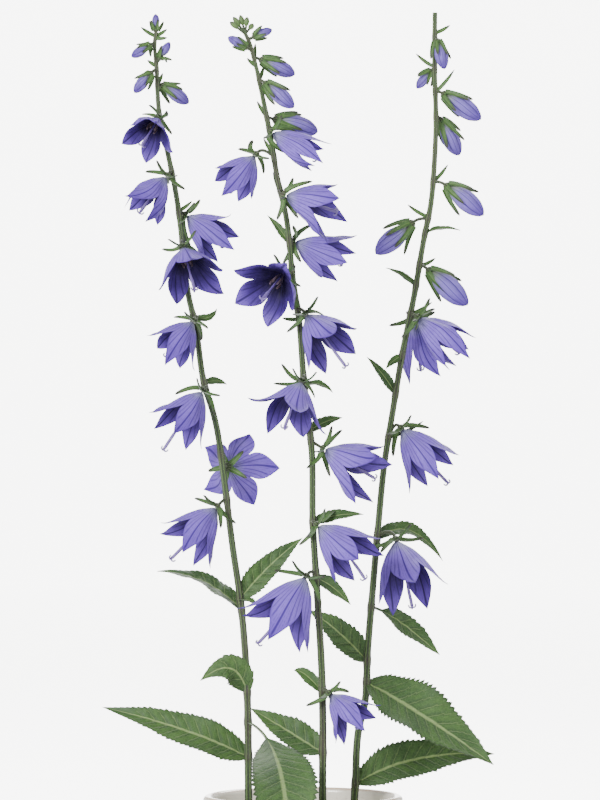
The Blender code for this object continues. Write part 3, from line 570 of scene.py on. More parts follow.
def stem(skin, number):
    """A ribbed stem, thicker at each node by a bell curve of the distance from it."""
    shape = STEMS[number]
    points = [stem_point(number, v) for u, v in shape.line]
    radii = [max(np.interp(v, *zip(*STEM_RADII)), shape.least_radius) for u, v in shape.line]
    radii += [CUT_RADIUS] * len(shape.foot)
    points += [np.array(point) for point in shape.foot]
    line, far = smooth_line(points, STEM_ROWS)
    radius = np.interp(far, travelled(points), radii)
    swelling = np.exp(-((line[:, 2:] - node_heights(number)) / NODE_LENGTH) ** 2).max(axis=1)
    radius = radius * (1 + NODE_SWELLING * swelling)
    grid = tube(line[::-1], radius[::-1], STEM_COLUMNS, SIDE, STEM_RIB, STEM_RIBS)
    ridge = np.broadcast_to(0.5 + 0.5 * np.cos(STEM_RIBS * ring(STEM_COLUMNS)), grid.shape[:2])
    skin.grid(grid, ridge=ridge, joint=swelling[::-1, None])
    return grid


def stalk(skin, head, axes, base):
    """A short stalk that leaves the stem, arches and arrives along the flower's axis."""
    start = stem_point(head.stem, head.leaves_at)
    reach = np.linalg.norm(base - start)
    bend, end = base - axes[2] * reach * STALK_BOW, base + axes[2] * STALK_SINK
    radius = np.linspace(STALK_RADIUS * 1.1, STALK_RADIUS, STALK_ROWS)
    line = arch(start, bend, end, even(STALK_ROWS))
    skin.grid(tube(line, radius, STALK_COLUMNS, FRONT, STALK_RIB, STALK_RIBS), ridge=0.5, joint=0.6)


def head_axis(head):
    """The way that a flower or bud hangs: lean is from straight down, toward is to the viewer."""
    lean, toward = math.radians(head.lean), math.radians(head.toward)
    flat = math.cos(toward)
    return np.array((math.sin(lean) * flat, -math.sin(toward), -math.cos(lean) * flat))


def head_axes(head, index):
    """Three unit vectors of a flower's own frame, the last one along its axis."""
    down = head_axis(head)
    first, second = side_vectors(down, FRONT)
    turn = math.radians(TURN_STEP * (4 * index % 5 - 2))
    return np.array((outward(first, second, turn), outward(second, -first, turn), down))


def head_base(head):
    """The foot of the calyx. A flower's lies a setback behind the flower's place."""
    place = from_view(*head.base, stem_depth(head.stem, head.leaves_at) + head.depth)
    return place - head_axis(head) * (SETBACK if isinstance(head, Flower) else 0)


def calyx_size(head):
    """Full size on a flower; on a bud it grows with the bud."""
    return 1.0 if isinstance(head, Flower) else BUD_CALYX_LEAST + head.length / BUD_CALYX_GROWTH


def seen_matches(points, seen):
    """Pairs each seen u, v with one of the points, nearest pairs first; gives index and target. The
    target is the point seen at u, v at the matched point's depth."""
    pairs = []
    for k, (u, v) in enumerate(seen):
        for i, point in enumerate(points):
            target = from_view(u, v, point[1])
            pairs.append((float(np.linalg.norm(target - point)), i, k, target))
    pairs.sort(key=lambda pair: pair[0])
    taken, matched, used = set(), {}, set()
    for distance, i, k, target in pairs:
        if i not in taken and k not in used:
            taken.add(i)
            used.add(k)
            matched[i] = target
    return matched


def blade(line, half, hint, fold, columns, thickness, relief=0.0, lift=0.0):
    """A thin leaf along a line. At a share s of the half width a point lies half * s to the side and
    half * fold * (sqrt(s * s + FOLD_ROUND ** 2) - FOLD_ROUND) up, plus the relief and the lift given
    for it; the lower face lies a thickness below, thinner by a third at the margin."""
    direction = unit(np.gradient(line, axis=0))
    upper, side = side_vectors(direction, hint)
    s = eased(np.linspace(-1, 1, columns))
    half = half[:, None]
    rise = half * fold * (np.sqrt(s * s + FOLD_ROUND ** 2) - FOLD_ROUND) + lift
    top = line[:, None] + side[:, None] * (half * s)[..., None] + upper[:, None] * (rise + relief)[..., None]
    deep = thickness * (1 - 0.33 * s * s)
    rib = RIB * np.exp(-(half * s / RIB_WIDTH) ** 2) * smooth(half, 0.001, 0.004)
    under = top - upper[:, None] * (deep + rib - relief * 0.3)[..., None]
    grid = np.concatenate((top, under[:, ::-1]), axis=1)
    across = np.broadcast_to(np.abs(np.concatenate((s, s[::-1]))), grid.shape[:2])
    below = np.broadcast_to(np.concatenate((s * 0, s * 0 + 1)), grid.shape[:2])
    return grid, across, below


def blade_width(t, base):
    """A blade's outline: 0 at both ends and 1 at its widest, at base / (base + POINT)."""
    widest = base / (base + POINT)
    return (t / widest) ** base * ((1 - t) / (1 - widest)) ** POINT


def leaf_edge(shape, length, number):
    """How far along a leaf each row lies, and its half width there: the outline, plus a saw that rises
    slowly towards the tip and falls at once, but on the stalk no less than the stalk's."""
    teeth = max(int(length * (1 - shape.stalk) / TOOTH_LENGTH), 4)
    stalk_rows = int(shape.stalk * 30)
    t = np.concatenate((np.linspace(0, shape.stalk, stalk_rows, endpoint=False),
                        np.linspace(shape.stalk, 0.998, teeth * ROWS_PER_TOOTH)))
    grown = np.maximum(t - shape.stalk, 0) / (1 - shape.stalk)
    rng = np.random.default_rng(LEAF_SEED + number)
    tooth, saw = np.divmod(np.maximum(np.arange(len(t)) - stalk_rows, 0), ROWS_PER_TOOTH)
    saw = (saw / (ROWS_PER_TOOTH - 1)) ** 0.7 * rng.uniform(0.45, 1.25, teeth + 1)[tooth]
    outline = shape.width / 2 * blade_width(grown, shape.base)
    toothed = outline * (1 + TOOTH * (saw - 0.5) * smooth(grown, 0.02, 0.12))
    return t, np.maximum(toothed, LEAF_STALK * (1 - t ** 6))


def leaf(skin, shape, number):
    """A toothed leaf. Its veins are sunk by a cosine, its margins wave, and it is softly dented between
    the veins by a product of two sines."""
    depth = stem_depth(shape.stem, shape.root_v)
    root = stem_point(shape.stem, shape.root_v)
    bend, tip = [from_view(u, v, depth + deeper) for u, v, deeper in (shape.bend, shape.tip)]
    length = np.linalg.norm(np.diff(arch(root, bend, tip, even(60)), axis=0), axis=1).sum()
    t, half = leaf_edge(shape, length, number)
    columns = LEAF_COLUMNS if shape.width > SMALL_LEAF else SMALL_LEAF_COLUMNS
    s = np.abs(eased(np.linspace(-1, 1, columns)))
    up = t[:, None]
    veins = (up * length - s * shape.width / 2 * VEIN_SLANT) / VEIN_SPACING
    large = smooth(shape.width, 0.003, 0.010) * smooth(half[:, None], 0.0015, 0.005)
    furrows = np.cos(2 * math.pi * veins) * (1 - s ** 2) + 0.6 * np.exp(-(s / 0.12) ** 2)
    relief = -VEIN_DEPTH * large * furrows
    wave = LEAF_WAVE * half[:, None] * np.sin(2 * math.pi * (up * 2.3 + 0.37 * number)) * s ** 2
    wave = wave + LEAF_BULGE * large * np.sin(9 * up + 5 * s + number) * np.sin(23 * up - 3 * s)
    line, face = arch(root, bend, tip, t), np.array(shape.face, float)
    grid, across, below = blade(line, half, face, FOLD, columns, BLADE, relief, wave)
    phase = np.concatenate((veins, veins[:, ::-1]), axis=1)
    skin.grid(grid, across=across, below=below, vein=phase, large=large[:, :1])


def bract(skin, number, root_v, u, v, depth):
    """A narrow pointed leaf that arches up from the stem."""
    root = stem_point(number, root_v)
    tip = from_view(u, v, stem_depth(number, root_v) + depth)
    reach = np.linalg.norm(tip - root)
    t = even(BRACT_ROWS)
    line = arch(root, (root + tip) / 2 + DOWN * reach * BRACT_SAG, tip, t)
    half = BRACT_HALF * (1 - t ** 2.2) ** 0.8 * (0.75 + 0.5 * t) + 0.00008
    grid, across = blade(line, half, FRONT, 0.5, SMALL_LEAF_COLUMNS, BLADE)[:2]
    skin.grid(grid, across=across, along=t[:, None])


def cup(skin, size, axes, base):
    """The ribbed cup of a calyx."""
    heights, radii = np.array(CALYX_LINE).T
    far, at = even(CALYX_ROWS), even(len(CALYX_LINE))
    height = np.interp(far, at, heights) * size
    radius = np.interp(far, at, radii) * size
    angle = ring(CALYX_COLUMNS)
    ridge = np.cos(CALYX_RIBS * angle)
    grid = around(base, axes, radius[:, None] * (1 + CALYX_RIB * ridge), angle, height[:, None])
    skin.grid(grid, ridge=np.broadcast_to(0.5 + 0.5 * ridge, grid.shape[:2]), joint=0.3)


def sepal_places(head, size, axes, base, index):
    """Root, elbow and tip of five sepals that spread from the cup's brim and droop. One that shows in
    the front view ends where it is seen, as long as the others."""
    flower = isinstance(head, Flower)
    rng = np.random.default_rng(CALYX_SEED + index)
    length = (SEPAL_SHARE if flower else BUD_SEPAL_SHARE) * head.length
    spread = SEPAL_SPREAD if flower else BUD_SEPAL_SPREAD
    roots, elbows, tips = [], [], []
    for angle in ring(LOBES, 0.5):
        out = outward(axes[0], axes[1], angle)
        b = math.radians(spread + rng.uniform(-12, 10))
        c = b + math.radians(SEPAL_DROOP if flower else BUD_SEPAL_DROOP)
        root = base + axes[2] * SEPAL_FROM * size + out * SEPAL_OUT * size
        elbow = root + (out * math.sin(b) + axes[2] * math.cos(b)) * length * SEPAL_ELBOW
        roots.append(root)
        elbows.append(elbow)
        tips.append(elbow + (out * math.sin(c) + axes[2] * math.cos(c)) * length * (1 - SEPAL_ELBOW))
    for i, target in seen_matches(tips, head.sepals).items():
        flat = np.linalg.norm((target - roots[i])[[0, 2]])
        deep = math.copysign(math.sqrt(max(length ** 2 - flat ** 2, 0.0)), tips[i][1] - roots[i][1])
        tips[i] = target + np.array((0, roots[i][1] - target[1] + deep, 0))
        elbows[i] = roots[i] + (0.5 * (elbows[i] - roots[i]) + 0.28 * (tips[i] - roots[i]))
    return zip(roots, elbows, tips)


def calyx(skin, sepals, head, axes, base, index):
    """A ribbed cup and five narrow sepals, which end in a short round tip."""
    size = calyx_size(head)
    cup(skin, size, axes, base)
    t = even(SEPAL_ROWS)
    narrowing = (1 - 0.50 * t ** 1.5) * np.sqrt(np.clip(1 - t ** 12, 0, 1))
    half = SEPAL_HALF * min(size, 1.1) * narrowing + 0.00006
    for root, elbow, tip in sepal_places(head, size, axes, base, index):
        control = 2 * elbow - (root + tip) / 2
        line = arch(root, root + (control - root) * 0.8, tip, t)
        grid, across = blade(line, half, 1.6 * FRONT - axes[2], 0.45, SMALL_LEAF_COLUMNS, BLADE)[:2]
        sepals.grid(grid, across=across, along=t[:, None])


def wall_line(flare, length, lift):
    """Radius, height and slope along a bell's wall. Slopes are added up step by step, and the line is
    scaled so that a lobe's tip lies length from the flower's base."""
    steps = even(WALL_SAMPLES)
    at, closed, opening = np.array(BELL_SLOPES).T
    slope = np.radians(np.interp(steps, at, closed + opening * flare))
    halfway = (slope[:-1] + slope[1:]) / 2
    radius = summed(np.sin(halfway)) * steps[1]
    height = summed(np.cos(halfway)) * steps[1]
    a = radius[-1] ** 2 + height[-1] ** 2
    b = 2 * height[-1] * lift
    scale = (math.sqrt(b * b - 4 * a * (lift * lift - length * length)) - b) / (2 * a)
    return steps, radius * scale, height * scale + lift, slope


def lobe_outline():
    """A lobe's half width against how far up it is:
    (1 - q) ** LOBE_POINT * (1 + LOBE_BELLY * sin(pi * q))."""
    q = even(401)
    width = (1 - q) ** LOBE_POINT * (1 + LOBE_BELLY * np.sin(math.pi * q))
    return q, np.minimum.accumulate(np.minimum(width, 1))


def wall_relief(s, up, w, local, roll, twist):
    """How far the wall stands out: pleats by a cosine, a keel up each lobe by a bell curve, margins
    rolled by a cube and a twist by a square of the way up the lobe."""
    margin = np.clip(local, 0, 1) ** 3 * np.sin(math.pi * np.clip(up * 1.2, 0, 1))
    pleats = PLEAT * np.cos(math.pi * w) * smooth(s, 0.10, 0.30) * (1 - up)
    keel = KEEL * np.exp(-(w / 0.11) ** 2) * smooth(s, 0.30, 0.6) * (1 - 0.6 * up)
    return pleats + keel + ROLLED * margin * (0.7 + 0.6 * roll) + TWISTED * twist * w * up ** 2


def lobe_pulls(tips, seen):
    """How far each lobe's tip is drawn towards where it is seen, up to the longest pull."""
    pulls = np.zeros((LOBES, 3))
    for i, target in seen_matches(tips, seen).items():
        pull = target - tips[i]
        pulls[i] = pull * min(1, LONGEST_PULL / max(np.linalg.norm(pull), 1e-9))
    return pulls


def corolla(skin, flower, axes, base, index):
    """A five-lobed bell. Each column of the wall runs to the lobe's edge there, up the outside and
    down the inside. A lobe is drawn to where its tip is seen by a power of the way up it."""
    lift = CALYX_HEIGHT + GAP
    steps, radii, heights, slopes = wall_line(flower.flare, flower.length + SETBACK, lift)
    w = np.tile(eased(2 * np.arange(LOBE_COLUMNS) / LOBE_COLUMNS - 1), LOBES)
    lobe = np.repeat(np.arange(LOBES), LOBE_COLUMNS)
    angle = (lobe + w / 2) * 2 * math.pi / LOBES
    q, width = lobe_outline()
    reached = np.interp(np.abs(w), width[::-1], q[::-1])
    end = SINUS + (1 - SINUS) * reached
    rise = np.linspace(0.02, 1, BELL_ROWS) ** 1.1
    step = np.concatenate((rise, rise[::-1]))[:, None]
    inside = np.concatenate((rise * 0, rise * 0 + 1))[:, None]
    s = end * step
    up = np.clip((s - SINUS) / (1 - SINUS), 0, 1)
    slope = np.interp(s, steps, slopes)
    rng = np.random.default_rng(BELL_SEED + index)
    roll, twist, sway = rng.uniform(-1, 1, (3, LOBES))[:, lobe]
    local = np.abs(w) / np.maximum(np.interp(up, q, width), 0.12)
    out = wall_relief(s, up, w, local, roll, twist) - inside * PETAL * (1 - 0.45 * up)
    radius = np.interp(s, steps, radii) + out * np.cos(slope)
    height = np.interp(s, steps, heights) - out * np.sin(slope)
    grid = around(base, axes, radius, angle + SWAY * sway * up ** 2, height)
    pulls = lobe_pulls(around(base, axes, radii[-1], ring(LOBES), heights[-1]), flower.lobes)
    grid = grid + pulls[lobe] * (up ** PULL_POWER)[..., None]
    fold, inside, rim = (np.broadcast_to(mark, s.shape) for mark in (np.abs(w), inside, step))
    skin.grid(grid, fold=fold, along=s, inside=inside, rim=rim)


def pistil(skin, flower, axes, base, index):
    """A style that thickens towards its end, three curled stigmas, and five stamens round its foot."""
    lift = CALYX_HEIGHT + GAP
    length = flower.length + SETBACK
    root = base + axes[2] * (lift + STYLE_ROOT * length)
    reach = STYLE_REACH if flower.style else STYLE_HIDDEN
    tip = base + axes[2] * (reach * length - STYLE_SHORT)
    if flower.style:
        target = from_view(*flower.style, tip[1])
        tip = tip + (target - tip) * min(1, LONGEST_PULL / np.linalg.norm(target - tip))
    t = even(STYLE_ROWS)
    line = arch(root, root + axes[2] * 0.55 * np.linalg.norm(tip - root), tip, t)
    radius = STYLE_RADIUS * (1 + STYLE_SWELLING * smooth(t, 0.55, 0.75))
    skin.grid(tube(line, radius, STYLE_COLUMNS, FRONT), part=0.0, along=t[:, None])
    stigmas(skin, line, index)
    stamens(skin, base, axes, lift, length)


def stigmas(skin, line, index):
    """Three stigmas that curl back in a circle from the end of the style's line."""
    way = unit(line[-1] - line[-3])
    first, second = side_vectors(way, FRONT)
    curl = np.radians(np.linspace(*STIGMA_TURN, STIGMA_ROWS))[:, None]
    radius = np.linspace(*STIGMA_RADII, STIGMA_ROWS)
    for angle in ring(STIGMAS) + index:
        out = outward(first, second, angle)
        hook = line[-1] + STIGMA_CURL * ((1 - np.cos(curl)) * out + np.sin(curl) * way)
        skin.grid(tube(hook, radius, STIGMA_COLUMNS, np.cross(out, way)), part=0.5, along=1.0)


def stamens(skin, base, axes, lift, length):
    """Five withered stamens round the foot of the style, each with an anther along its upper part."""
    t = even(STAMEN_ROWS)
    radius = STAMEN_RADIUS + ANTHER_RADIUS * smooth(t, 0.35, 0.5) * (1 - smooth(t, 0.9, 1.0))
    for angle in ring(LOBES, 0.5):
        out = outward(axes[0], axes[1], angle)
        foot, top = (base + axes[2] * (lift + share * length) + out * spread
                     for share, spread in zip(STAMEN_REACH, STAMEN_SPREAD))
        line = arch(foot, (foot + top) / 2 + out * STAMEN_BOW, top, t)
        skin.grid(tube(line, radius, STAMEN_COLUMNS, out), part=1.0, along=t[:, None])


def bud(skin, base, axes, lift, length, radius, columns=BUD_COLUMNS):
    """A closed bud: its radius follows a line, less by a pleat where two lobes meet, and the pleats
    turn by an angle that grows with the square of the height."""
    line = smooth_line(BUD_LINE, 200)[0]
    h = np.linspace(0.01, 0.995, BUD_ROWS)
    profile = np.interp(h, line[:, 0], np.maximum(line[:, 1], 0)) * radius
    angle = ring(columns)
    fold = np.abs(((angle * LOBES / (2 * math.pi) + 0.5) % 1) * 2 - 1)
    h = h[:, None]
    r = profile[:, None] * (1 - BUD_PLEAT * fold ** 1.5 * smooth(h, 0.0, 0.3))
    grid = around(base, axes, r, angle + BUD_TWIST * h ** 2, lift + h * (length - lift))
    skin.grid(grid, fold=np.broadcast_to(fold, r.shape), along=np.broadcast_to(h, r.shape))


def green_top(stems, buds):
    """Five tiny green buds on short stalks at the crowded top of one stem."""
    for u, v, depth in GREEN_BUDS:
        root = stem_point(GREEN_BUD_STEM, GREEN_BUD_ROOT_V)
        tip = from_view(u, v, stem_depth(GREEN_BUD_STEM, GREEN_BUD_ROOT_V) + depth)
        down = unit(tip - root)
        axes = np.array((*side_vectors(down, FRONT), down))
        start = root + (tip - root) * GREEN_BUD_FROM
        line = arch(root, (root + start) / 2, start + down * 0.0004, even(8))
        stems.grid(tube(line, np.full(8, GREEN_BUD_STALK), 10, FRONT), ridge=0.5, joint=0.3)
        bud(buds, start, axes, 0.0, np.linalg.norm(tip - start), GREEN_BUD_RADIUS, GREEN_BUD_COLUMNS)


def down_of(skin, grid, seed):
    """Short stiff hairs that stand off a tube and point a little forwards."""
    rng = np.random.default_rng(seed)
    rows, columns = grid.shape[:2]
    i = rng.integers(int(rows * BARE_FOOT), rows - 2, HAIRS_PER_STEM)
    j = rng.integers(0, columns, HAIRS_PER_STEM)
    at = grid[i, j] + (grid[i + 1, j] - grid[i, j]) * rng.uniform(0, 1, (HAIRS_PER_STEM, 1))
    out = unit(grid[i, j] - grid[i].mean(axis=1))
    ways = unit(out - DOWN * rng.uniform(-0.7, 0.2, (HAIRS_PER_STEM, 1)))
    length = HAIR_LENGTH * rng.uniform(0.5, 1.1, HAIRS_PER_STEM)
    skin.spikes(at - out * HAIR_RADIUS, ways, length, HAIR_RADIUS)


def outer_radius(z):
    """The vase widens quickly above its foot and then slowly to its rim."""
    widening = np.sin(math.pi / 2 * z / VASE_HEIGHT) ** VASE_SWELL
    return VASE_FOOT_RADIUS + (VASE_RIM_RADIUS - VASE_FOOT_RADIUS) * widening


def turned(profile, columns, way):
    """A profile of radii and heights turned about the vase's axis; way is the sense of turning."""
    radius, height = np.array(profile).T
    angle = way * ring(columns)
    x = radius[:, None] * np.cos(angle)
    y = radius[:, None] * np.sin(angle)
    return np.stack((x, y, np.broadcast_to(height[:, None], x.shape)), axis=-1)


def rounded(x, z, radius, angles):
    """Points on a round corner, by their angles from straight down towards the outside."""
    return [(x + radius * math.sin(a), z - radius * math.cos(a)) for a in angles]


def vase_profile():
    """From the middle of the floor out, up the inside, over a half round rim, down the outside with
    fine rings from throwing, round the foot and back to the axis."""
    up = np.linspace(FLOOR + FLOOR_ROUND, VASE_HEIGHT - WALL / 2, 90)
    inner = outer_radius(up) - WALL
    outer = outer_radius(up[::-1]) + THROWING_RINGS * np.sin(2 * math.pi * up[::-1] / RING_SPACING) ** 3
    arc = np.linspace(0, math.pi / 2, 8)
    corner = rounded(inner[0] - FLOOR_ROUND, FLOOR + FLOOR_ROUND, FLOOR_ROUND, arc)
    over = 1.5 * math.pi - np.linspace(0, math.pi, 14)[1:-1]
    rim = rounded(VASE_RIM_RADIUS - WALL / 2, VASE_HEIGHT - WALL / 2, WALL / 2, over)
    low = np.linspace(FLOOR + FLOOR_ROUND, FOOT_ROUND, 8)[1:]
    foot = rounded(VASE_FOOT_RADIUS - FOOT_ROUND, FOOT_ROUND, FOOT_ROUND, math.pi / 2 - arc[1:])
    flat = [(VASE_FOOT_RADIUS * share, 0.0) for share in (0.9, 0.7, 0.4, 0.05)]
    floor = [(inner[0] * share - FLOOR_ROUND, FLOOR) for share in (0.3, 0.6, 0.85)]
    return (floor + corner + list(zip(inner, up)) + rim + list(zip(outer, up[::-1]))
            + list(zip(outer_radius(low), low)) + foot + flat)


def water(skin):
    """Fills the vase. Its surface climbs by an exponential of the distance to the wall and stems."""
    low = np.linspace(FLOOR + FLOOR_ROUND, WATER_LEVEL, 24)
    side = outer_radius(low) - WALL - GAP
    arc = np.linspace(0, math.pi / 2, 6)[:-1]
    corner = rounded(side[0] - FLOOR_ROUND, FLOOR + GAP + FLOOR_ROUND, FLOOR_ROUND, arc)
    surface = [(side[-1] * share, WATER_LEVEL) for share in np.linspace(0.99, 0.01, 60)]
    profile = [(0.005, FLOOR + GAP), (0.018, FLOOR + GAP)] + corner + list(zip(side, low)) + surface
    grid = turned(profile, WATER_COLUMNS, 1)
    top = grid[-len(surface) - 1:]
    away = side[-1] - np.hypot(top[..., 0], top[..., 1])
    for shape in STEMS.values():
        high, cut = (np.array(point) for point in shape.foot)
        x, y = (high + (cut - high) * (high[2] - WATER_LEVEL) / (high[2] - cut[2]))[:2]
        away = np.minimum(away, np.maximum(np.hypot(top[..., 0] - x, top[..., 1] - y) - CUT_RADIUS, 0))
    top[..., 2] += MENISCUS * np.exp(-away / MENISCUS_REACH)
    skin.grid(grid)


class Number:
    """A shader socket that takes part in sums, with other sockets or with plain numbers."""

    def __init__(self, tree, socket):
        self.tree = tree
        self.socket = socket

    def math(self, operation, *others, first=False):
        """The outcome of an operation on this number and others; first puts the others before it."""
        node = self.tree.nodes.new("ShaderNodeMath")
        node.operation = operation
        values = (*others, self) if first else (self, *others)
        for slot, value in zip(node.inputs, values):
            if isinstance(value, Number):
                self.tree.links.new(value.socket, slot)
            else:
                slot.default_value = value
        return Number(self.tree, node.outputs[0])

    def __add__(self, other):
        return self.math("ADD", other)

    def __sub__(self, other):
        return self.math("SUBTRACT", other)

    def __rsub__(self, other):
        return self.math("SUBTRACT", other, first=True)

    def __mul__(self, other):
        return self.math("MULTIPLY", other)

    def __abs__(self):
        return self.math("ABSOLUTE")

    __radd__ = __add__
    __rmul__ = __mul__

    def wrapped(self):
        """The distance to the nearest whole number, from 0 to a half."""
        return abs(self.math("FRACT") - 0.5)

    def most(self, other):
        return self.math("MAXIMUM", other)


class Finish:
    """A material made of nodes round one Principled shader."""

    def __init__(self, name, **constants):
        self.material = bpy.data.materials.new(name)
        self.material.use_nodes = True
        self.tree = self.material.node_tree
        self.shader = self.tree.nodes["Principled BSDF"]
        for socket, value in constants.items():
            self.shader.inputs[socket.replace("_", " ")].default_value = value
        self.place = self.node("ShaderNodeTexCoord", out="Object")

    def node(self, kind, settings=(), sockets=(), out=0):
        """A node with its settings made first, then values or links given to its sockets."""
        node = self.tree.nodes.new(kind)
        for name, value in dict(settings).items():
            setattr(node, name, value)
        for name, value in dict(sockets).items():
            self.feed(node.inputs[name], value)
        return Number(self.tree, node.outputs[out])

    def feed(self, slot, value):
        """Links a number or sets a constant; a colour may leave out its alpha."""
        if isinstance(value, Number):
            self.tree.links.new(value.socket, slot)
        elif slot.type == "RGBA" and len(value) == 3:
            slot.default_value = (*value, 1)
        else:
            slot.default_value = value

    def mark(self, name):
        """A number that the surface carries at each point."""
        return self.node("ShaderNodeAttribute", {"attribute_name": name}, out="Fac")

    def parts(self):
        """The place in metres as three numbers."""
        split = self.node("ShaderNodeSeparateXYZ", sockets={"Vector": self.place})
        return [Number(self.tree, slot) for slot in split.socket.node.outputs]

    def noise(self, scale, detail=3.0, stretch=None):
        """Cloudy noise, drawn out along an axis by a stretch below 1."""
        place = self.place
        if stretch:
            place = self.node("ShaderNodeMapping", sockets={"Vector": place, "Scale": stretch})
        return self.node("ShaderNodeTexNoise", sockets={"Vector": place, "Scale": scale, "Detail": detail})

    def cells(self, scale, feature="DISTANCE_TO_EDGE"):
        """The distance to the nearest border between random cells, or to a cell's middle with F1."""
        sockets = {"Vector": self.place, "Scale": scale}
        return self.node("ShaderNodeTexVoronoi", {"feature": feature}, sockets, out="Distance")

    def rise(self, value, low, high):
        """0 at low, 1 at high, and an even S between them; low may be the larger."""
        sockets = {"Value": value, "From Min": low, "From Max": high}
        return self.node("ShaderNodeMapRange", {"interpolation_type": "SMOOTHSTEP"}, sockets)

    def mix(self, share, first, second):
        """The first colour at share 0 and the second at share 1."""
        sockets = {0: share, 6: first, 7: second}
        return self.node("ShaderNodeMix", {"data_type": "RGBA"}, sockets, out=2)

    def bump(self, height, distance):
        """Relief: height 1 stands a distance above height 0."""
        sockets = {"Height": height, "Distance": distance, "Strength": 1.0}
        normal = self.node("ShaderNodeBump", sockets=sockets)
        self.feed(self.shader.inputs["Normal"], normal)

    def set(self, **sockets):
        """Feeds the shader's own sockets."""
        for name, value in sockets.items():
            self.feed(self.shader.inputs[name.replace("_", " ")], value)


def petal_finish():
    """Violet, paler towards the root outside. The inner face carries painted shade: it is darker all over
    and nearly black in the throat.
    A dark line runs up the middle of each lobe, with branching veins beside it and fine broken lines between
    them."""
    pale_root, violet, dusky = (0.230, 0.250, 0.330), (0.150, 0.090, 0.430), (0.090, 0.042, 0.330)
    # Painted shade: the inner face's colours for throat, mouth and lobes are darker than the outside, and
    # nearly black in the throat.
    throat, shaded_mouth, lobe = (0.003, 0.001, 0.014), (0.032, 0.014, 0.125), (0.105, 0.055, 0.345)
    light_body, pale_patch_in_shade, tip = (0.150, 0.085, 0.420), (0.110, 0.060, 0.340), (0.030, 0.012, 0.130)
    # The inner face's vein colour and its paler patch colour are darker than the outer ones by the same
    # painted shade.
    vein_outside, shaded_vein_inside, edge = (0.022, 0.009, 0.110), (0.008, 0.003, 0.040), (0.035, 0.014, 0.150)
    f = Finish("petal", Specular_IOR_Level=0.25, IOR=1.38)
    fold, along, inside, rim = f.mark("fold"), f.mark("along"), f.mark("inside"), f.mark("rim")
    grain = f.noise(900.0, 4.0)
    patch = f.noise(120.0, 2.0)
    body = f.mix(f.rise(along, 0.02, 0.36), pale_root, violet)
    body = f.mix(f.rise(along, 0.45, 1.0) * 0.8, body, dusky)
    # Painted shade inside the bell, nearly black in the throat and lighter towards the lobe tips.
    deep = f.mix(f.rise(along, 0.28, 0.70), throat, shaded_mouth)
    deep = f.mix(f.rise(along, 0.58, 0.92), deep, lobe)
    light = f.rise(patch, 0.35, 0.75) * 0.25
    # The inner face takes the painted shade colours, and the outer face takes the violet body.
    colour = f.mix(inside, f.mix(light, body, light_body), f.mix(light, deep, pale_patch_in_shade))
    colour = f.mix(f.rise(along, 0.88, 1.0) * 0.6, colour, tip)
    middle = f.rise(fold, 0.090, 0.020)
    branch = f.rise(abs(fold - (0.26 + along * 0.22)), 0.060, 0.012)
    outer = f.rise(abs(fold - (0.60 + along * 0.10)), 0.055, 0.012)
    comb = f.rise((fold * 9.0 + grain * 0.5).wrapped(), 0.16, 0.04) * f.rise(grain, 0.38, 0.56)
    veins = middle.most(branch * 0.75).most(outer * 0.6).most(comb * 0.55)
    seam = f.rise(fold, 0.93, 1.0) * f.rise(along, 0.50, 0.44)
    veins = veins.most(seam * 0.8) * f.rise(rim, 1.0, 0.90)
    colour = f.mix(veins * 0.85, colour, f.mix(inside, vein_outside, shaded_vein_inside))
    colour = f.mix(f.rise(rim, 0.94, 1.0) * 0.45, colour, edge)
    f.set(Base_Color=colour, Roughness=0.46 + grain * 0.22)
    f.bump(veins * -0.6 + grain * 0.3, 0.00022)
    return f.material


def bud_finish():
    """Violet with a dark line on each fold, fine lines beside it, and a pale green foot."""
    foot, violet = (0.170, 0.210, 0.130), (0.150, 0.110, 0.390)
    dusky, line = (0.075, 0.038, 0.270), (0.018, 0.008, 0.085)
    f = Finish("bud_petal", Specular_IOR_Level=0.25, IOR=1.38)
    fold, along = f.mark("fold"), f.mark("along")
    grain = f.noise(900.0, 4.0)
    colour = f.mix(f.rise(along, 0.02, 0.42), foot, violet)
    colour = f.mix(f.rise(along, 0.45, 1.0) * 0.85, colour, dusky)
    seam = f.rise(fold, 0.86, 0.98)
    ridge = f.rise(fold, 0.10, 0.02)
    comb = f.rise((fold * 5.0 + grain * 0.4).wrapped(), 0.15, 0.04) * f.rise(grain, 0.38, 0.56)
    veins = seam.most(ridge * 0.8).most(comb * 0.5)
    colour = f.mix(veins * 0.82, colour, line)
    f.set(Base_Color=colour, Roughness=0.45 + grain * 0.22)
    f.bump(veins * -0.7 + grain * 0.3, 0.00025)
    return f.material


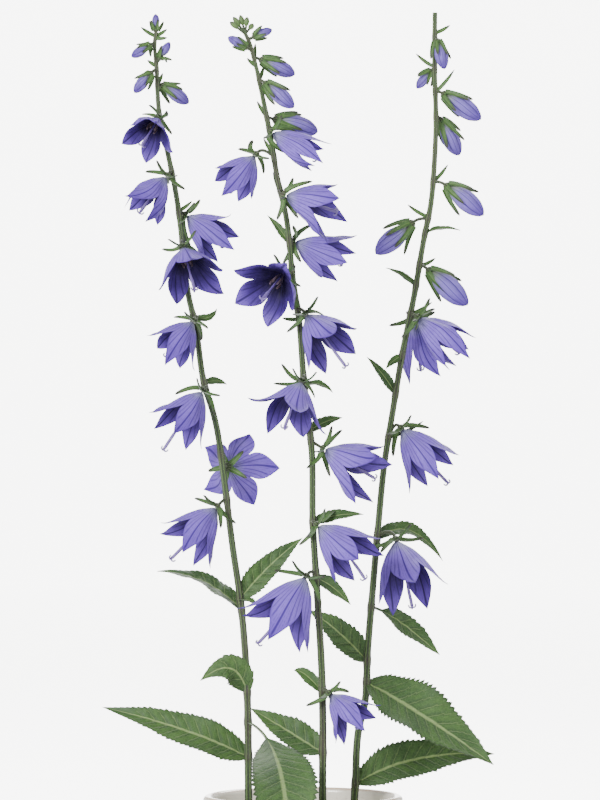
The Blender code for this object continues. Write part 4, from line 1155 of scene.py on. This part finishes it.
def leaf_finish():
    """Green, darker between the veins, with pale sunk ribs and a fine net, and greyer below."""
    green, light_green, speck = (0.017, 0.052, 0.007), (0.036, 0.088, 0.012), (0.010, 0.034, 0.005)
    between, net_line, side_vein = (0.010, 0.031, 0.005), (0.060, 0.115, 0.024), (0.095, 0.155, 0.042)
    midrib, margin, grey_green = (0.150, 0.215, 0.070), (0.007, 0.017, 0.003), (0.034, 0.062, 0.020)
    f = Finish("leaf", Sheen_Weight=0.10, IOR=1.42)
    across, below, vein, large = (f.mark(name) for name in ("across", "below", "vein", "large"))
    grain = f.noise(700.0, 4.0)
    patch = f.noise(90.0, 3.0)
    colour = f.mix(f.rise(patch, 0.3, 0.7), green, light_green)
    colour = f.mix(f.rise(grain, 0.35, 0.7) * 0.4, colour, speck)
    rib = f.rise(across, 0.095, 0.030)
    side = f.rise((vein + grain * 0.16).wrapped(), 0.5 - 0.075, 0.5 - 0.016) * large
    cell = f.rise((vein + patch * 0.3).wrapped(), 0.10, 0.42) * f.rise(across, 0.98, 0.30) * large
    net = f.rise(f.cells(820.0), 0.10, 0.02) * large
    colour = f.mix(cell * 0.65, colour, between)
    colour = f.mix(net * 0.25, colour, net_line)
    colour = f.mix(side * f.rise(across, 1.0, 0.60) * 0.62, colour, side_vein)
    colour = f.mix(rib * 0.90, colour, midrib)
    colour = f.mix(f.rise(across, 0.86, 1.0) * 0.65, colour, margin)
    colour = f.mix(below * 0.45, colour, grey_green)
    f.set(Base_Color=colour, Roughness=0.48 + grain * 0.20)
    f.bump(net * -0.3 - side * 0.7 - rib * 0.6 + grain * 0.25, 0.00025)
    return f.material


def sepal_finish():
    """Narrow green leaves with a paler rib, flushed purple towards the tip."""
    f = Finish("sepal", Sheen_Weight=0.15, IOR=1.42)
    across, along = f.mark("across"), f.mark("along")
    grain = f.noise(800.0, 3.0)
    colour = f.mix(f.rise(grain, 0.3, 0.7), (0.019, 0.058, 0.008), (0.038, 0.092, 0.015))
    colour = f.mix(f.rise(across, 0.22, 0.06) * 0.5, colour, (0.090, 0.150, 0.038))
    colour = f.mix(f.rise(along, 0.62, 1.0) * 0.85, colour, (0.014, 0.007, 0.010))
    f.set(Base_Color=colour, Roughness=0.50 + grain * 0.2)
    f.bump(grain, 0.00012)
    return f.material


def stem_finish():
    """Green ribs, darker in the furrows, with a purple flush in streaks and at each node."""
    f = Finish("stem", Sheen_Weight=0.2, IOR=1.42)
    ridge, joint = f.mark("ridge"), f.mark("joint")
    grain = f.noise(500.0, 3.0, (1.0, 1.0, 0.15))
    patch = f.noise(26.0, 2.0)
    colour = f.mix(f.rise(ridge, 0.35, 0.85), (0.006, 0.015, 0.003), (0.052, 0.098, 0.020))
    colour = f.mix(f.rise(grain, 0.40, 0.70) * 0.5, colour, (0.020, 0.046, 0.008))
    flush = f.rise(patch, 0.46, 0.66) * 0.40
    colour = f.mix(flush.most(joint * 0.35), colour, (0.038, 0.013, 0.020))
    f.set(Base_Color=colour, Roughness=0.50 + grain * 0.2)
    f.bump(ridge * 0.5 + grain * 0.5, 0.00020)
    return f.material


def hair_finish():
    """Short pale green hairs."""
    f = Finish("hair")
    f.set(Base_Color=f.mix(f.noise(60.0), (0.17, 0.21, 0.10), (0.34, 0.38, 0.24)), Roughness=0.6)
    return f.material


def pistil_finish():
    """A lilac style with a duller end, and straw-brown stamens."""
    f = Finish("pistil")
    part, along = f.mark("part"), f.mark("along")
    grain = f.noise(1200.0, 3.0)
    style = f.mix(f.rise(along, 0.25, 0.85), (0.110, 0.070, 0.290), (0.125, 0.085, 0.270))
    stamen = f.mix(f.rise(along, 0.35, 0.6), (0.050, 0.036, 0.060), (0.048, 0.028, 0.030))
    colour = f.mix(f.rise(part, 0.6, 0.9), style, stamen)
    colour = f.mix(f.rise(grain, 0.4, 0.7) * 0.3, colour, (0.130, 0.100, 0.210))
    f.set(Base_Color=colour, Roughness=0.55)
    f.bump(grain, 0.00012)
    return f.material


def glaze_finish():
    """An off-white glaze over a sandy body: small freckles, thin and tan at the rim, bare at the foot."""
    f = Finish("glaze", Coat_Roughness=0.08, IOR=1.5)
    height = f.node("ShaderNodeSeparateXYZ", sockets={"Vector": f.place}, out="Z")
    pool = f.noise(22.0, 4.0)
    fine = f.noise(240.0, 3.0)
    colour = f.mix(f.rise(pool, 0.30, 0.72), (0.640, 0.590, 0.490), (0.760, 0.725, 0.640))
    freckle = f.rise(f.cells(230.0, "F1"), 0.20, 0.10) * f.rise(f.noise(70.0), 0.50, 0.62)
    colour = f.mix(freckle * 0.75, colour, (0.170, 0.095, 0.045))
    thin = f.rise(height + pool * 0.0016, VASE_HEIGHT - 0.0006, VASE_HEIGHT + 0.0008)
    colour = f.mix(thin * 0.75, colour, (0.400, 0.240, 0.120))
    bare = f.rise(height + fine * 0.0010, 0.0032, 0.0024)
    clay = f.mix(f.rise(fine, 0.3, 0.7), (0.420, 0.310, 0.215), (0.520, 0.400, 0.290))
    colour = f.mix(bare, colour, clay)
    f.set(Base_Color=colour, Roughness=0.20 + bare * 0.60 + pool * 0.10, Coat_Weight=(1 - bare) * 0.6)
    f.bump(pool * 0.5 + fine * 0.12 + bare * fine * 0.8, 0.0006)
    return f.material


def water_finish():
    """Clear water with the faintest green tint."""
    f = Finish("clear_water", Alpha=0.28, IOR=1.333)
    tint = f.mix(f.noise(40.0), (0.62, 0.72, 0.66), (0.68, 0.76, 0.70))
    f.set(Base_Color=tint, Roughness=0.02)
    return f.material


def open_flowers(number, stems, sepals, petal, inner):
    """A stem's open flowers from the top down. Stalks and sepals join the stem's own pieces."""
    mine = [(k, flower) for k, flower in enumerate(FLOWERS) if flower.stem == number]
    for count, (k, flower) in enumerate(mine, 1):
        axes, base = head_axes(flower, k), head_base(flower)
        stalk(stems, flower, axes, base)
        calyx(stems, sepals, flower, axes, base, k)
        bell = Skin("fold", "along", "inside", "rim")
        corolla(bell, flower, axes, base, k)
        bell.piece(f"corolla_{number}_{count}", petal, "bell_violet", f"bell_{number}_{count}")
        middle = Skin("part", "along")
        pistil(middle, flower, axes, base, k)
        middle.piece(f"pistil_{number}_{count}", inner, "bell_violet", f"bell_{number}_{count}")


def closed_flowers(number, stems, sepals, petal):
    """A stem's buds from the top down."""
    mine = [(k, closed) for k, closed in enumerate(BUDS) if closed.stem == number]
    for count, (k, closed) in enumerate(mine, 1):
        axes, base = head_axes(closed, k), head_base(closed)
        stalk(stems, closed, axes, base)
        calyx(stems, sepals, closed, axes, base, len(FLOWERS) + k)
        petals = Skin("fold", "along")
        lift = CALYX_HEIGHT * calyx_size(closed) + GAP
        bud(petals, base, axes, lift, closed.length, BUD_SLIMNESS * closed.length)
        petals.piece(f"closed_{number}_{count}", petal, "bud_violet", f"bud_{number}_{count}")


def plants():
    """Everything that grows, a set of pieces for each stem."""
    petal, bud_petal, green, sepal, bark, hair, inner = (
        petal_finish(), bud_finish(), leaf_finish(), sepal_finish(), stem_finish(), hair_finish(),
        pistil_finish())
    for number in STEMS:
        node = f"stem_{number}"
        stems = Skin("ridge", "joint")
        leaves = Skin("across", "below", "vein", "large")
        sepals = Skin("across", "along")
        hairs = Skin()
        down_of(hairs, stem(stems, number), number)
        for k, shape in enumerate(LEAVES):
            if shape.stem == number:
                leaf(leaves, shape, k)
        for row in BRACTS:
            if row[0] == number:
                bract(sepals, *row)
        open_flowers(number, stems, sepals, petal, inner)
        closed_flowers(number, stems, sepals, bud_petal)
        if number == GREEN_BUD_STEM:
            tops = Skin("fold", "along")
            green_top(stems, tops)
            tops.piece("green_buds", sepal, "green", node)
        stems.piece(f"stalks_{number}", bark, "green", node)
        leaves.piece(f"leaves_{number}", green, "green", node)
        sepals.piece(f"sepals_{number}", sepal, "green", node)
        hairs.piece(f"hairs_{number}", hair, "green", node)


def pottery():
    """The vase and the water in it."""
    clay = Skin()
    clay.grid(turned(vase_profile(), VASE_COLUMNS, -1))
    clay.piece("glazed_vase", glaze_finish(), "vase_glaze", "vase")
    pool = Skin()
    water(pool)
    pool.piece("clear_water", water_finish(), "water", "water")


def stage():
    """A round pale floor whose edge curves up into a wall all round. The part of it that lies behind
    the object glows: rise(|x|, 1.4, 0.8) * rise(y, 1.0, 1.6) * rise(z, 2.4, 1.5)."""
    bowl = Skin()
    arc = np.linspace(0, math.pi / 2, 24)
    edge = FLAT_RADIUS + CURVE_RADIUS
    profile = [(PINHOLE, 0.0), (1.0, 0.0), (3.0, 0.0)]
    profile += rounded(FLAT_RADIUS, CURVE_RADIUS, CURVE_RADIUS, arc)
    profile += [(edge, STAGE_HEIGHT), (edge + STAGE_THICKNESS, STAGE_HEIGHT)]
    profile += [(edge + STAGE_THICKNESS, -STAGE_THICKNESS), (PINHOLE, -STAGE_THICKNESS)]
    bowl.grid(turned(profile, STAGE_COLUMNS, -1))
    f = Finish("paper_floor", Roughness=0.9, Emission_Strength=1.0)
    east, north, height = f.parts()
    behind = f.rise(east.most(east * -1), 1.4, 0.8) * f.rise(north, 1.0, 1.6) * f.rise(height, 2.4, 1.5)
    paper = f.mix(f.noise(3.0), (0.86, 0.86, 0.85), (0.88, 0.88, 0.87))
    glow = f.mix(behind, (0, 0, 0), (BACKDROP, BACKDROP, BACKDROP * 0.99))
    f.set(Base_Color=paper, Emission_Color=glow)
    bowl.object("floor", f.material)


def area_light(name, place, size, power):
    """A round lamp that faces the lit point."""
    light = bpy.data.lights.new(name, "AREA")
    light.shape = "DISK"
    light.size = size
    light.energy = power
    lamp = bpy.data.objects.new(name, light)
    bpy.context.scene.collection.objects.link(lamp)
    lamp.location = place
    lamp.rotation_euler = (Vector(LIT_POINT) - Vector(place)).to_track_quat("-Z", "Y").to_euler()


def studio():
    """Soft light from high on the left, weaker ones from the right and behind, and an even sky."""
    for light in LIGHTS:
        area_light(*light)
    world = bpy.data.worlds.new("sky")
    world.use_nodes = True
    background = world.node_tree.nodes["Background"]
    background.inputs["Color"].default_value = (1, 1, 1, 1)
    background.inputs["Strength"].default_value = SKY
    bpy.context.scene.world = world


def camera():
    """Level with the middle of the front view, as far away as the view's scale says."""
    data = bpy.data.cameras.new("camera")
    data.lens = LENS
    data.sensor_width = SENSOR
    data.clip_end = 30
    eye = bpy.data.objects.new("camera", data)
    bpy.context.scene.collection.objects.link(eye)
    eye.location = (CENTRE_X, -VIEW_DISTANCE, CENTRE_Z)
    eye.rotation_euler = (math.pi / 2, 0, 0)
    bpy.context.scene.camera = eye


plants()
pottery()
stage()
studio()
camera()

bpy.context.view_layer.update()
